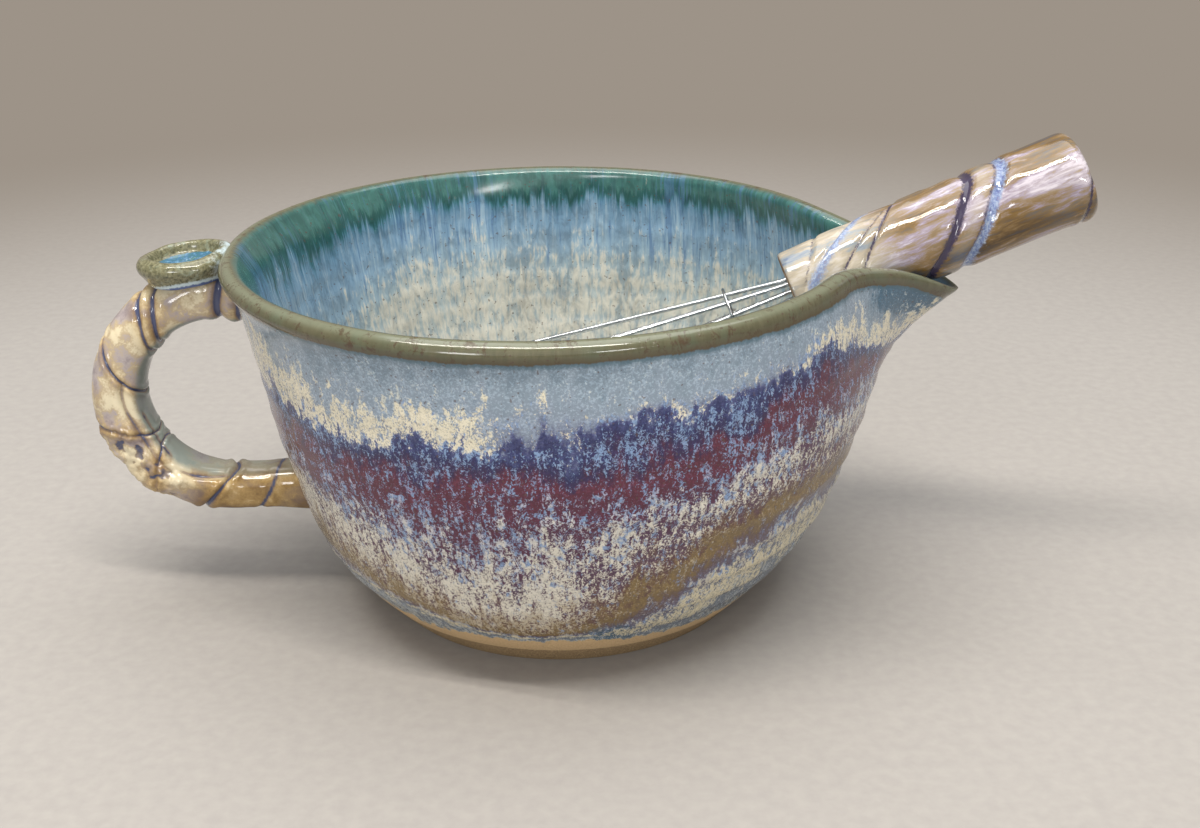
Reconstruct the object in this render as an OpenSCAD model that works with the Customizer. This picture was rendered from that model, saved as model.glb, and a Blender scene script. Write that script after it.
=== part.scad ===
// Glazed stoneware batter bowl with a pulled spout, a ring handle with a thumb rest, and its
// own small whisk lying in the spout. Millimetres. The origin is the middle of the foot's
// underside, +Z is up and +X runs out along the spout.

/* [Bowl] */
// Outer radius of the rim
rim_r = 100; // [90:1:115]
// Height of the rim above the table
rim_h = 117.5; // [105:0.5:130]
// Radius of the foot where it stands
foot_r = 59.5; // [50:0.5:64]
// Radius of the wall where the trimmed bevel ends
bevel_r = 68.4; // [66:0.2:74]
// Height of the trimmed bevel
bevel_h = 10.1; // [6:0.1:14]
// Small break on the foot's lower edge
foot_edge = 0.8; // [0.4:0.1:1.5]
// Thickness of the thrown wall
wall_t = 6.4; // [5:0.1:8]
// Thickness of the floor over the foot
floor_t = 9.5; // [7:0.1:13]
// Thickness of the rolled lip
lip_t = 7; // [6:0.1:8.5]
// Height of the rolled lip
lip_h = 8.5; // [8:0.1:11]
// How far the rim's centre sits towards the handle
rim_shift = 5.3; // [0:0.1:6]

/* [Spout] */
// How far the spout's edge is pulled out past the rim's circle
spout_reach = 37; // [24:0.5:40]
// Half width of the spout at half its reach
spout_half_w = 17.5; // [14:0.5:22]
// How far the pouring edge lies below the rim
spout_drop = 19; // [8:0.5:22]
// Height on the wall where the pull begins
spout_root_h = 50; // [44:1:70]
// Thickness of the clay at the pouring edge
spout_lip_t = 4.6; // [3.5:0.1:6]

/* [Bowl handle] */
// Radius of the handle's centre line
grip_loop_r = 32.8; // [28:0.2:35]
// How far the centre of the handle's ring lies below the rim
grip_drop = 48.9; // [46:0.1:53]
// How far the centre of the handle's ring lies outside the rim's circle
grip_out = 9.5; // [7:0.5:18]
// Thickness of the handle, measured out from its finger hole
grip_t = 17; // [13:0.2:19]
// Width of the handle across the palm
grip_w = 18.5; // [15:0.5:24]
// How much the handle's roots swell where they are luted to the wall
root_swell = 2.2; // [0:0.1:3]
// How deep the handle's roots are pressed into the wall
root_sink = 1.6; // [1:0.1:2.5]

/* [Thumb rest] */
// Outer radius of the thumb rest's dish
thumb_r = 15.4; // [12:0.1:18]
// Height of the dish from its base to its crest
thumb_h = 9.5; // [8:0.5:13]
// Depth of the dish's hollow
thumb_dip = 3.2; // [2:0.2:5]
// Thickness of the dish's rolled edge
thumb_lip_t = 6; // [4:0.2:7]
// How far the dish is tipped up towards the bowl
thumb_tilt = 6; // [0:0.5:10]

/* [Whisk handle] */
// Length of the whisk's handle
whisk_grip_l = 97.5; // [80:0.5:105]
// Radius of the handle at the wire end
whisk_grip_r1 = 12.9; // [11:0.1:14]
// Radius of the handle at its outer end
whisk_grip_r2 = 14.6; // [13:0.1:15.5]
// Rounding of the handle's ends
whisk_grip_round = 4; // [2:0.5:5]
// Radius of the socket that takes the wires
socket_r = 6.5; // [6:0.1:8]
// Depth of the socket
socket_depth = 32; // [20:1:45]
// Angle at which the whisk leans in the spout
whisk_lean = 22.3; // [20:0.1:24]
// How far the handle's underside dips below the pouring edge, over the rim's circle
seat_dip = 3.56; // [0:0.02:4]
// How much of the handle lies inside the rim's circle
grip_inside = 27.9; // [20:0.1:34]

/* [Whisk wires] */
// Diameter of the whisk's wire
wire_d = 1.3; // [1:0.1:1.6]
// Radius of each loop's round end
loop_r = 26; // [20:0.5:27]
// Clearance of the longest loop's round end from the inside wall
tip_gap = 0.5; // [0.3:0.1:12]
// Radius of the ring of wires where they leave the handle
bundle_r = 4.2; // [3.6:0.1:4.8]
// Distance of the tie from the handle
tie_at = 20; // [12:1:40]
// Diameter of the tie's wire
tie_d = 1; // [0.7:0.1:1.4]

/* [Hidden] */

// Running clearance between pieces that only rest on each other
rest_gap = 0.3;
// Clearance of the wires in the resin, and of the resin in its socket
fit_gap = 0.05;
// Overrun of every cut past the face it opens
overrun = 1;
// Step used to measure a slope
slope_step = 0.5;

// The wall's outline from the bevel to the lip, at equal steps of height. The first share
// runs from the bevel's radius to the rim's, the second leans the ring out to the spout.
wall_shares = [0, 0.345, 0.56, 0.696, 0.829, 0.896, 0.93, 0.95, 0.955];
lean_shares = [0, 0.004, 0.015, 0.022, 0.025, 0.021, 0.006, -0.016, -0.04];

// Heights of the rings along the outside and the inside, as shares of the wall
outer_rows = 17;
inner_rows = 15;
lip_rows = 8;
floor_rows = 7;
bowl_columns = 80;
// How strongly the columns gather at the spout, in degrees
column_gather = 38;

// A smooth curve through the values of a list at equal steps, with place running from 0 to 1
function along(list, place) =
    let (n = len(list) - 1, at = min(max(place, 0), 1) * n, i = min(floor(at), n - 1), t = at - i,
         p1 = list[i], p2 = list[i + 1],
         p0 = i > 0 ? list[i - 1] : 2 * p1 - p2, p3 = i < n - 1 ? list[i + 2] : 2 * p2 - p1)
    p1 + t * (p2 - p0 + t * (2 * p0 - 5 * p1 + 4 * p2 - p3 + t * (3 * p1 - p0 - 3 * p2 + p3))) / 2;

function smooth(x) = let (c = min(max(x, 0), 1)) c * c * (3 - 2 * c);
function rise(z) = (z - bevel_h) / (rim_h - bevel_h);
function wall_r(z) = bevel_r + (rim_r - bevel_r) * along(wall_shares, rise(z));
// The lip's centre follows the wall and swings to the rim's own centre at the top
function lean(z) = z > lip_foot_h
    ? -rim_shift + (rim_shift + rim_r * along(lean_shares, rise(lip_foot_h)))
        * (1 - smooth((z - lip_foot_h) / (lip_h / 2)))
    : rim_r * along(lean_shares, rise(z));
lip_foot_h = rim_h - lip_h;
lip_bead_r = lip_t / 2;

// The pull that makes the spout: how far along it a height lies, and how it fades sideways
spout_angle = atan(spout_half_w / (rim_r + spout_reach / 2));
// The pull is whole as far as the first angle from the spout's middle and gone at the second
spout_hold = 12;
spout_fade = 29;
// How sharply the pull and the drop grow towards the rim, and how much narrower the drop is
pull_power = 2.3;
drop_power = 1.6;
drop_width_share = 0.86;
function pull_share(z) = min(max((z - spout_root_h) / (rim_h - spout_root_h), 0), 1);
function bell(az, w) = smooth((spout_fade - abs(az)) / (spout_fade - spout_hold)) / (1 + pow(az / w, 2));
function pull(az, z) =
    spout_reach * bell(az, spout_angle * (2 - pull_share(z))) * pow(pull_share(z), pull_power);
function dropped(az, z) =
    z - spout_drop * bell(az, drop_width_share * spout_angle) * pow(pull_share(z), drop_power);
// The clay is thinned as it is pulled
function thinned(az, z) = 1 - (1 - spout_lip_t / lip_t) * bell(az, spout_angle) * pull_share(z);

function mid_r(z) = wall_r(z) - wall_t / 2;
function mid_point(az, z) = (mid_r(z) + pull(az, z)) * [cos(az), sin(az)];
// A point at a radius and a height of the round pot, moved by the spout's pull. It keeps its
// distance from the middle of the wall.
function pulled(az, r, z) =
    let (step = slope_step, t = mid_point(az + step, z) - mid_point(az - step, z),
         n = [t[1], -t[0]] / norm(t),
         p = mid_point(az, z) + n * (r - mid_r(z)) * thinned(az, z))
    [p[0] + lean(z), p[1], dropped(az, z)];

// The inside wall keeps its distance from the outside, measured square to it
function wall_slope(z) = (wall_r(z + slope_step) - wall_r(z - slope_step)) / (2 * slope_step);
function inner_point(z) =
    let (s = wall_slope(z), d = wall_t / sqrt(1 + s * s))
    [wall_r(z) - d, z + d * s];
heel_h = bevel_h + wall_t + floor_t;
heel = inner_point(heel_h);
heel_dir = let (s = wall_slope(heel_h)) [-s, -1] / sqrt(1 + s * s);
// The floor rounds up to the wall along one curve with its ends level and in line
heel_pull_share = 0.8;
floor_flat_share = 0.58;
function floor_point(t) =
    let (a = heel, b = heel + heel_dir * (heel[1] - floor_t) * heel_pull_share,
         c = [heel[0] * floor_flat_share, floor_t],
         d = [0, floor_t], u = 1 - t)
    u * u * u * a + 3 * u * u * t * b + 3 * u * t * t * c + t * t * t * d;

lip_mid_r = rim_r - lip_bead_r;
lip_mid_h = rim_h - lip_bead_r;
// The bead starts this far below its own middle, in degrees
lip_start = 12;
foot_line = [[foot_r - foot_edge, 0], [foot_r, foot_edge]];
wall_line = [for (i = [0:outer_rows])
    let (z = bevel_h + (lip_foot_h - bevel_h) * i / outer_rows) [wall_r(z), z]];
lip_line = [for (i = [0:lip_rows])
    let (a = 180 * i / lip_rows - lip_start)
    [lip_mid_r + lip_bead_r * cos(a), lip_mid_h + lip_bead_r * sin(a)]];
inside_line = [for (i = [0:inner_rows])
    inner_point(lip_foot_h + (heel_h - lip_foot_h) * i / inner_rows)];
floor_line = [for (i = [1:floor_rows]) floor_point(i / (floor_rows + 1))];
bowl_line = concat(foot_line, wall_line, lip_line, inside_line, floor_line);

function column_angle(i) = let (a = 360 * i / bowl_columns - 180) a - column_gather * sin(a);

// A closed solid from columns of rings round the axis, with a point at the start and the end
module turned_shell(columns, first, last) {
    n = len(columns);
    m = len(columns[0]);
    points = concat([for (c = columns, p = c) p], [first, last]);
    walls = [for (i = [0:n - 1], j = [0:m - 2])
        let (a = i * m + j, b = ((i + 1) % n) * m + j)
        each [[a, a + 1, b], [b, a + 1, b + 1]]];
    ends = [for (i = [0:n - 1])
        let (a = i * m, b = ((i + 1) % n) * m)
        each [[a, b, n * m], [a + m - 1, n * m + 1, b + m - 1]]];
    polyhedron(points, concat(walls, ends), convexity = 6);
}

module bowl_body() {
    color("#8c93a2")
        turned_shell([for (i = [0:bowl_columns - 1])
            [for (p = bowl_line) pulled(column_angle(i), p[0], p[1])]], [0, 0, 0], [0, 0, floor_t]);
}

// A closed tube from rings of points
module swept(rings) {
    n = len(rings);
    m = len(rings[0]);
    points = [for (r = rings, p = r) p];
    sides = [for (i = [0:n - 2], j = [0:m - 1])
        let (a = i * m + j, b = i * m + (j + 1) % m)
        each [[a, a + m, b], [b, a + m, b + m]]];
    ends = [[for (j = [0:m - 1]) j], [for (j = [m - 1:-1:0]) (n - 1) * m + j]];
    polyhedron(points, concat(sides, ends), convexity = 4);
}

// The handle's centre line lies in the XZ plane: a root in the wall under the lip, a half
// ring, a level run and a root that turns square to the wall
grip_mid_h = rim_h - grip_drop;
grip_mid_x = rim_r + grip_out;
grip_top_h = grip_mid_h + grip_loop_r;
grip_low_h = grip_mid_h - grip_loop_r;
grip_columns = 24;
grip_arc_rows = 26;
grip_run_rows = 3;
grip_turn_rows = 4;
grip_turn_r = grip_t;
function wall_left(z) = -wall_r(z) + lean(z);
function left_lean(z) = atan((wall_left(z - slope_step) - wall_left(z + slope_step)) / (2 * slope_step));
low_lean = left_lean(grip_low_h);
low_root_h = grip_low_h + grip_turn_r * (1 - cos(low_lean));
low_end = [wall_left(low_root_h) + root_sink, low_root_h];
low_turn = low_end - [grip_turn_r * sin(low_lean), low_root_h - grip_low_h];
top_end = [wall_left(grip_top_h) + root_sink + root_swell / 3, grip_top_h];
grip_arc = [for (i = [0:grip_arc_rows]) let (a = 90 + 180 * i / grip_arc_rows)
    [-grip_mid_x + grip_loop_r * cos(a), grip_mid_h + grip_loop_r * sin(a), a - 90]];
top_run = [for (i = [0:grip_run_rows - 1]) let (t = i / grip_run_rows)
    [top_end[0] * (1 - t) - grip_mid_x * t, grip_top_h, 0]];
low_run = [for (i = [1:grip_run_rows]) let (t = i / grip_run_rows)
    [low_turn[0] * t - grip_mid_x * (1 - t), grip_low_h, 180]];
low_turning = [for (i = [1:grip_turn_rows]) let (a = low_lean * i / grip_turn_rows)
    [low_turn[0] + grip_turn_r * sin(a), grip_low_h + grip_turn_r * (1 - cos(a)), 180 + a]];
grip_line = concat(top_run, grip_arc, low_run, low_turning);

// The handle is fullest at the middle of its ring and swells again at both roots
grip_end_share = 0.9;
grip_mid_share = 1.03;
function grip_full(turn) =
    grip_end_share + (grip_mid_share - grip_end_share) * sin(min(max(turn, 0), 180));
root_swell_l = grip_t * 0.7;
function root_at(p) =
    let (d = min(norm([p[0], p[1]] - top_end), norm([p[0], p[1]] - low_end)))
    root_swell * pow(max(1 - d / root_swell_l, 0), 2);
// One ring of the handle: a soft square, slightly flatter on the finger side
grip_square = 2.5;
grip_inner_share = 0.94;
function grip_ring(p) =
    let (full = grip_full(p[2]), a = grip_t / 2 * full + root_at(p), b = grip_w / 2 * full + root_at(p),
         out = [-sin(p[2]), cos(p[2])])
    [for (j = [0:grip_columns - 1])
        let (w = 360 * j / grip_columns, c = cos(w), s = sin(w),
             k = pow(pow(abs(c), grip_square) + pow(abs(s), grip_square), -1 / grip_square),
             r = a * c * k * (c < 0 ? grip_inner_share : 1))
        [p[0] + out[0] * r, b * s * k, p[1] + out[1] * r]];

module bowl_handle() {
    color("#b9a684") swept([for (p = grip_line) grip_ring(p)]);
}

// The dish is pressed on the handle's shoulder and over the outside of the rim
thumb_base_r = thumb_r * 0.82;
thumb_bead_r = thumb_lip_t / 2;
thumb_sink = 2.4;
thumb_lap = thumb_lip_t * 2 / 3;
// How far the middle of the dish's bead lies above its base
thumb_stand = thumb_h - thumb_bead_r;
thumb_mid_x = rim_r + rim_shift + thumb_r * cos(thumb_tilt) - thumb_lap - thumb_stand * sin(thumb_tilt);
thumb_turn = asin((thumb_mid_x - grip_mid_x) / grip_loop_r);
thumb_base_h = grip_mid_h + grip_loop_r * cos(thumb_turn) + grip_t / 2 - thumb_sink;
thumb_dish_r = thumb_r - thumb_lip_t;
thumb_bend_rows = 10;
thumb_hollow_out = thumb_bead_r * 0.4;
thumb_hollow_h = thumb_h - thumb_bead_r * 0.6;
thumb_hollow = [for (i = [0:thumb_bend_rows]) let (a = 90 * i / thumb_bend_rows)
    [thumb_dish_r * sin(a) + thumb_hollow_out * (1 - cos(a)), thumb_hollow_h - thumb_dip * cos(a)]];
// The bead of the dish's edge runs between these two angles
thumb_bead_from = 150;
thumb_bead_to = -40;
thumb_bead = [for (i = [0:thumb_bend_rows])
    let (a = thumb_bead_from + (thumb_bead_to - thumb_bead_from) * i / thumb_bend_rows)
    [thumb_r - thumb_bead_r + thumb_bead_r * cos(a), thumb_h - thumb_bead_r + thumb_bead_r * sin(a)]];

module thumb_rest() {
    color("#8a917c")
        translate([-thumb_mid_x, 0, thumb_base_h])
            rotate([0, -thumb_tilt, 0])
                rotate_extrude($fn = 64)
                    polygon(concat([[0, 0]], thumb_hollow, thumb_bead, [[thumb_base_r, 0]]));
}

// The whisk's axis crosses the rim's circle where its handle rests on the edges of the spout
whisk_cross_h = rim_h - spout_drop - seat_dip + whisk_grip_r1 / cos(whisk_lean);
whisk_mouth_x = rim_r - grip_inside * cos(whisk_lean);
whisk_mouth_h = whisk_cross_h - grip_inside * sin(whisk_lean);

// The whisk lies along its own axis: local +X runs from the handle's mouth to its outer end
module whisk_place() {
    translate([whisk_mouth_x, 0, whisk_mouth_h])
        rotate([0, -whisk_lean, 0])
            children();
}

whisk_round_rows = 6;
whisk_mouth_round = whisk_grip_round / 4;
whisk_mouth_line = [for (i = [0:whisk_round_rows]) let (a = 90 * i / whisk_round_rows)
    [whisk_grip_r1 - whisk_mouth_round * (1 - sin(a)), whisk_mouth_round * (1 - cos(a))]];
whisk_end_line = [for (i = [0:whisk_round_rows]) let (a = 90 * i / whisk_round_rows)
    [whisk_grip_r2 - whisk_grip_round * (1 - cos(a)), whisk_grip_l - whisk_grip_round * (1 - sin(a))]];

module whisk_handle() {
    color("#c2a877")
        whisk_place()
            rotate([0, 90, 0])
                difference() {
                    rotate_extrude($fn = 64)
                        polygon(concat([[0, 0]], whisk_mouth_line, whisk_end_line, [[0, whisk_grip_l]]));
                    translate([0, 0, -overrun])
                        cylinder(r = socket_r, h = socket_depth + overrun, $fn = 48);
                }
}

loops = 5;
wire_r = wire_d / 2;
// How deep the legs are set in the socket
leg_root = socket_depth * 0.8;
loop_step = wire_d + rest_gap;
bend_r = socket_depth / 2;
bend_rows = 3;
arc_rows = 34;
wire_sides = 8;
// The longest loop slides down the whisk's axis until its round end would meet the inside of
// the bowl on the handle's side, less the clearance
whisk_mouth = [whisk_mouth_x, whisk_mouth_h];
whisk_way = [cos(whisk_lean), sin(whisk_lean)];
swing_r = loop_r + wire_r + tip_gap;
handle_side = [for (p = concat(inside_line, floor_line)) whisk_mouth - [lean(p[1]) - p[0], p[1]]];
longest_reach = min([for (d = handle_side)
    let (run = d * whisk_way, off = d * d - run * run)
    if (off < swing_r * swing_r) run - sqrt(swing_r * swing_r - off)]);
loop_reach = longest_reach - (loops - 1) * loop_step;

module whisk_plug() {
    color("#d8d2c0")
        whisk_place()
            difference() {
                rotate([0, 90, 0])
                    cylinder(r = socket_r - fit_gap, h = socket_depth - fit_gap, $fn = 48);
                for (i = [0:2 * loops - 1])
                    rotate([180 * i / loops, 0, 0])
                        translate([-overrun, 0, bundle_r])
                            rotate([0, 90, 0])
                                cylinder(r = wire_r + fit_gap, h = leg_root + overrun + fit_gap, $fn = 24);
            }
}

// The loop's own plane holds the whisk's axis along X. Each leg is set in the handle, bends out
// to a straight run, and meets the round end in line.
function leg_spread(reach) =
    asin((loop_r + bend_r) / norm([reach, bundle_r + bend_r])) - atan2(bundle_r + bend_r, reach);
// Points of one leg from the handle outwards, each with the direction that the wire runs there
function leg_line(reach) =
    let (spread = leg_spread(reach))
    concat([for (t = [0, 1]) [leg_root * (1 - t), bundle_r, 180]],
        [for (i = [1:bend_rows]) let (a = spread * i / bend_rows)
            [-bend_r * sin(a), bundle_r + bend_r * (1 - cos(a)), 180 - a]],
        [for (i = [0:arc_rows / 2 - 1]) let (a = 90 + spread + (90 - spread) * i / (arc_rows / 2))
            [-reach + loop_r * cos(a), loop_r * sin(a), a + 90]]);
function loop_line(reach) =
    let (leg = leg_line(reach), n = len(leg))
    concat(leg, [[-reach - loop_r, 0, 270]],
        [for (i = [n - 1:-1:0]) [leg[i][0], -leg[i][1], 180 - leg[i][2]]]);
function wire_ring(p) = [for (j = [0:wire_sides - 1]) let (w = 360 * j / wire_sides)
    [p[0] - wire_r * cos(w) * sin(p[2]), p[1] + wire_r * cos(w) * cos(p[2]), wire_r * sin(w)]];

module whisk_loop(i) {
    whisk_place()
        rotate([90 + 180 * i / loops, 0, 0])
            swept([for (p = loop_line(loop_reach + i * loop_step)) wire_ring(p)]);
}

module whisk_loop_1() {
    color("#c9ccd0") whisk_loop(0);
}

module whisk_loop_2() {
    color("#c9ccd0") whisk_loop(1);
}

module whisk_loop_3() {
    color("#c9ccd0") whisk_loop(2);
}

module whisk_loop_4() {
    color("#c9ccd0") whisk_loop(3);
}

module whisk_loop_5() {
    color("#c9ccd0") whisk_loop(4);
}

// The tie is a closed ring of thin wire drawn round the legs where they start to spread
module whisk_tie() {
    spread = leg_spread(loop_reach);
    inside_r = bundle_r + tie_at * tan(spread) + wire_r / cos(spread);
    color("#b4b8bd")
        whisk_place()
            translate([-tie_at, 0, 0])
                rotate([0, 90, 0])
                    rotate_extrude($fn = 64)
                        translate([inside_r + fit_gap + tie_d / 2, 0])
                            circle(d = tie_d, $fn = 24);
}

bowl_body();
bowl_handle();
thumb_rest();
whisk_handle();
whisk_plug();
whisk_tie();
whisk_loop_1();
whisk_loop_2();
whisk_loop_3();
whisk_loop_4();
whisk_loop_5();
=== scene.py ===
"""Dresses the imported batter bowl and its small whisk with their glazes, clay detail and bright wire."""

import logging
import math
from collections.abc import Callable, Sequence
from dataclasses import dataclass
from enum import Enum
from functools import cached_property

import bmesh
import bpy
import numpy as np
from mathutils import Matrix, Vector, noise


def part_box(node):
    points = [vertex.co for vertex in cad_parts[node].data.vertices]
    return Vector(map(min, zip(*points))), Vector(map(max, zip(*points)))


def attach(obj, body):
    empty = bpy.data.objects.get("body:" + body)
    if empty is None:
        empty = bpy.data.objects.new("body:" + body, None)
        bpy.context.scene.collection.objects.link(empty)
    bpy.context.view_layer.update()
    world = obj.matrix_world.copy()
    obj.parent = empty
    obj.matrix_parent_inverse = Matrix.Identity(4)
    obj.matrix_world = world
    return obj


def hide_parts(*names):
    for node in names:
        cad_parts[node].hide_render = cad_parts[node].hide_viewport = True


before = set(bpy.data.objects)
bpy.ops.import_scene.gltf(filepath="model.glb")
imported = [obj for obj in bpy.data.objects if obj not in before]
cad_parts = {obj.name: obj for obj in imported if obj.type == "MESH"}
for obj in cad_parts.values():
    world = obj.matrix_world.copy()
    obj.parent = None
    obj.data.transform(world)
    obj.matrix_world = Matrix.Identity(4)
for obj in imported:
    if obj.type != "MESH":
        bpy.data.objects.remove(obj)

log = logging.getLogger("batter_bowl")
MM = 0.001
BACKDROP = "#9d9388"
GLAZE_IOR = 1.52
# Points this near each other are one, in mm: in the CAD's loose triangles, and in a spun shape
CAD_WELD = 0.002
SPUN_WELD = 0.01
# The Mix node's sockets: its two colours, and the mixed one
MIX_A, MIX_B, MIX_OUT = 6, 7, 2
# A material's patterns or attributes, by their names
Sockets = dict[str, bpy.types.NodeSocket]


class Slot(Enum):
    """The record's material slots."""

    BOWL = "bowl_glaze"
    HANDLE = "handle_glaze"
    THUMB = "thumb_glaze"
    WHISK = "whisk_glaze"
    RESIN = "resin"
    WIRE = "wire"


class Body(Enum):
    """The bodies that pieces ride on."""

    BOWL = "bowl"
    WHISK = "whisk"


def linear(code: str) -> tuple[float, float, float, float]:
    """Turns an sRGB hex colour into the linear colour that the shaders use.

    Args:
        code: the colour as "#rrggbb".

    Returns:
        Linear red, green, blue and an alpha of 1.
    """
    parts = [int(code[i : i + 2], 16) / 255 for i in (1, 3, 5)]
    parts = [c / 12.92 if c <= 0.04045 else ((c + 0.055) / 1.055) ** 2.4 for c in parts]
    return (*parts, 1.0)


def add_node(
    tree: bpy.types.NodeTree,
    kind: str,
    inputs: dict | None = None,
    stops: Sequence | None = None,
    **settings: object,
) -> bpy.types.Node:
    """Adds one node with its settings, its links and, on a ramp, its stops.

    Args:
        tree: the tree that takes the node.
        kind: the node's type name.
        inputs: socket name or number to a value, a hex colour or an output socket.
        stops: pairs of place and hex colour or number, for a colour ramp.
        **settings: the node's own properties.

    Returns:
        The new node.
    """
    made = tree.nodes.new(kind)
    for key, value in settings.items():
        setattr(made, key, value)
    for key, value in (inputs or {}).items():
        if isinstance(value, bpy.types.NodeSocket):
            tree.links.new(value, made.inputs[key])
        else:
            made.inputs[key].default_value = linear(value) if isinstance(value, str) else value
    if stops:
        ramp = made.color_ramp
        while len(ramp.elements) < len(stops):
            ramp.elements.new(0.5)
        for element, (place, tone) in zip(ramp.elements, stops):
            element.position = place
            element.color = linear(tone) if isinstance(tone, str) else (tone, tone, tone, 1.0)
    return made


def background_ray(tree: bpy.types.NodeTree) -> bpy.types.NodeSocket:
    """Finds the rays that show the backdrop: the camera's, and those in metal and glass.

    Args:
        tree: the tree that takes the nodes.

    Returns:
        A socket that is 1 for those rays and 0 for the others.
    """
    path = add_node(tree, "ShaderNodeLightPath").outputs
    shiny = add_node(
        tree, "ShaderNodeMath", {0: path["Is Glossy Ray"], 1: path["Is Transmission Ray"]},
        operation="MAXIMUM").outputs[0]
    return add_node(
        tree, "ShaderNodeMath", {0: path["Is Camera Ray"], 1: shiny}, operation="MAXIMUM").outputs[0]


def smoothstep(x: np.ndarray, low: float, high: float) -> np.ndarray:
    """Rises smoothly from 0 at low to 1 at high."""
    t = np.clip((x - low) / (high - low), 0.0, 1.0)
    return t * t * (3 - 2 * t)


def band(x: np.ndarray, start: float, full: float, fade: float, end: float) -> np.ndarray:
    """Rises smoothly from 0 at start to 1 at full, and falls again from fade to 0 at end."""
    return smoothstep(x, start, full) * (1 - smoothstep(x, fade, end))


def ridge(x: np.ndarray, width: float) -> np.ndarray:
    """A rounded bump of height 1 about x = 0."""
    return np.exp(-((x / width) ** 2))


def roughen(points: np.ndarray, grain: float, octaves: int = 4) -> np.ndarray:
    """Smooth random relief from -1 to 1 at each point.

    Args:
        points: places in metres, one row each.
        grain: the size of the largest bumps in metres.
        octaves: how many finer layers are added.

    Returns:
        One value for each point.
    """
    return np.array([noise.fractal(Vector(p) / grain, 0.8, 2.0, octaves) for p in points])


@dataclass(frozen=True)
class Finish:
    """What every finish shares: it builds its material once and keeps it."""

    title: str

    @cached_property
    def material(self) -> bpy.types.Material:
        """Builds the material, the first time that a piece asks for it.

        Returns:
            The material, under the finish's title.
        """
        made = bpy.data.materials.new(self.title)
        made.use_nodes = True
        tree = made.node_tree
        tree.nodes.clear()
        shader = self.shade(tree)
        add_node(tree, "ShaderNodeOutputMaterial", {"Surface": shader.outputs[0]})
        return made

    def shade(self, tree: bpy.types.NodeTree) -> bpy.types.Node:
        """Adds the finish's nodes to the tree and returns its shader."""
        raise NotImplementedError


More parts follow.
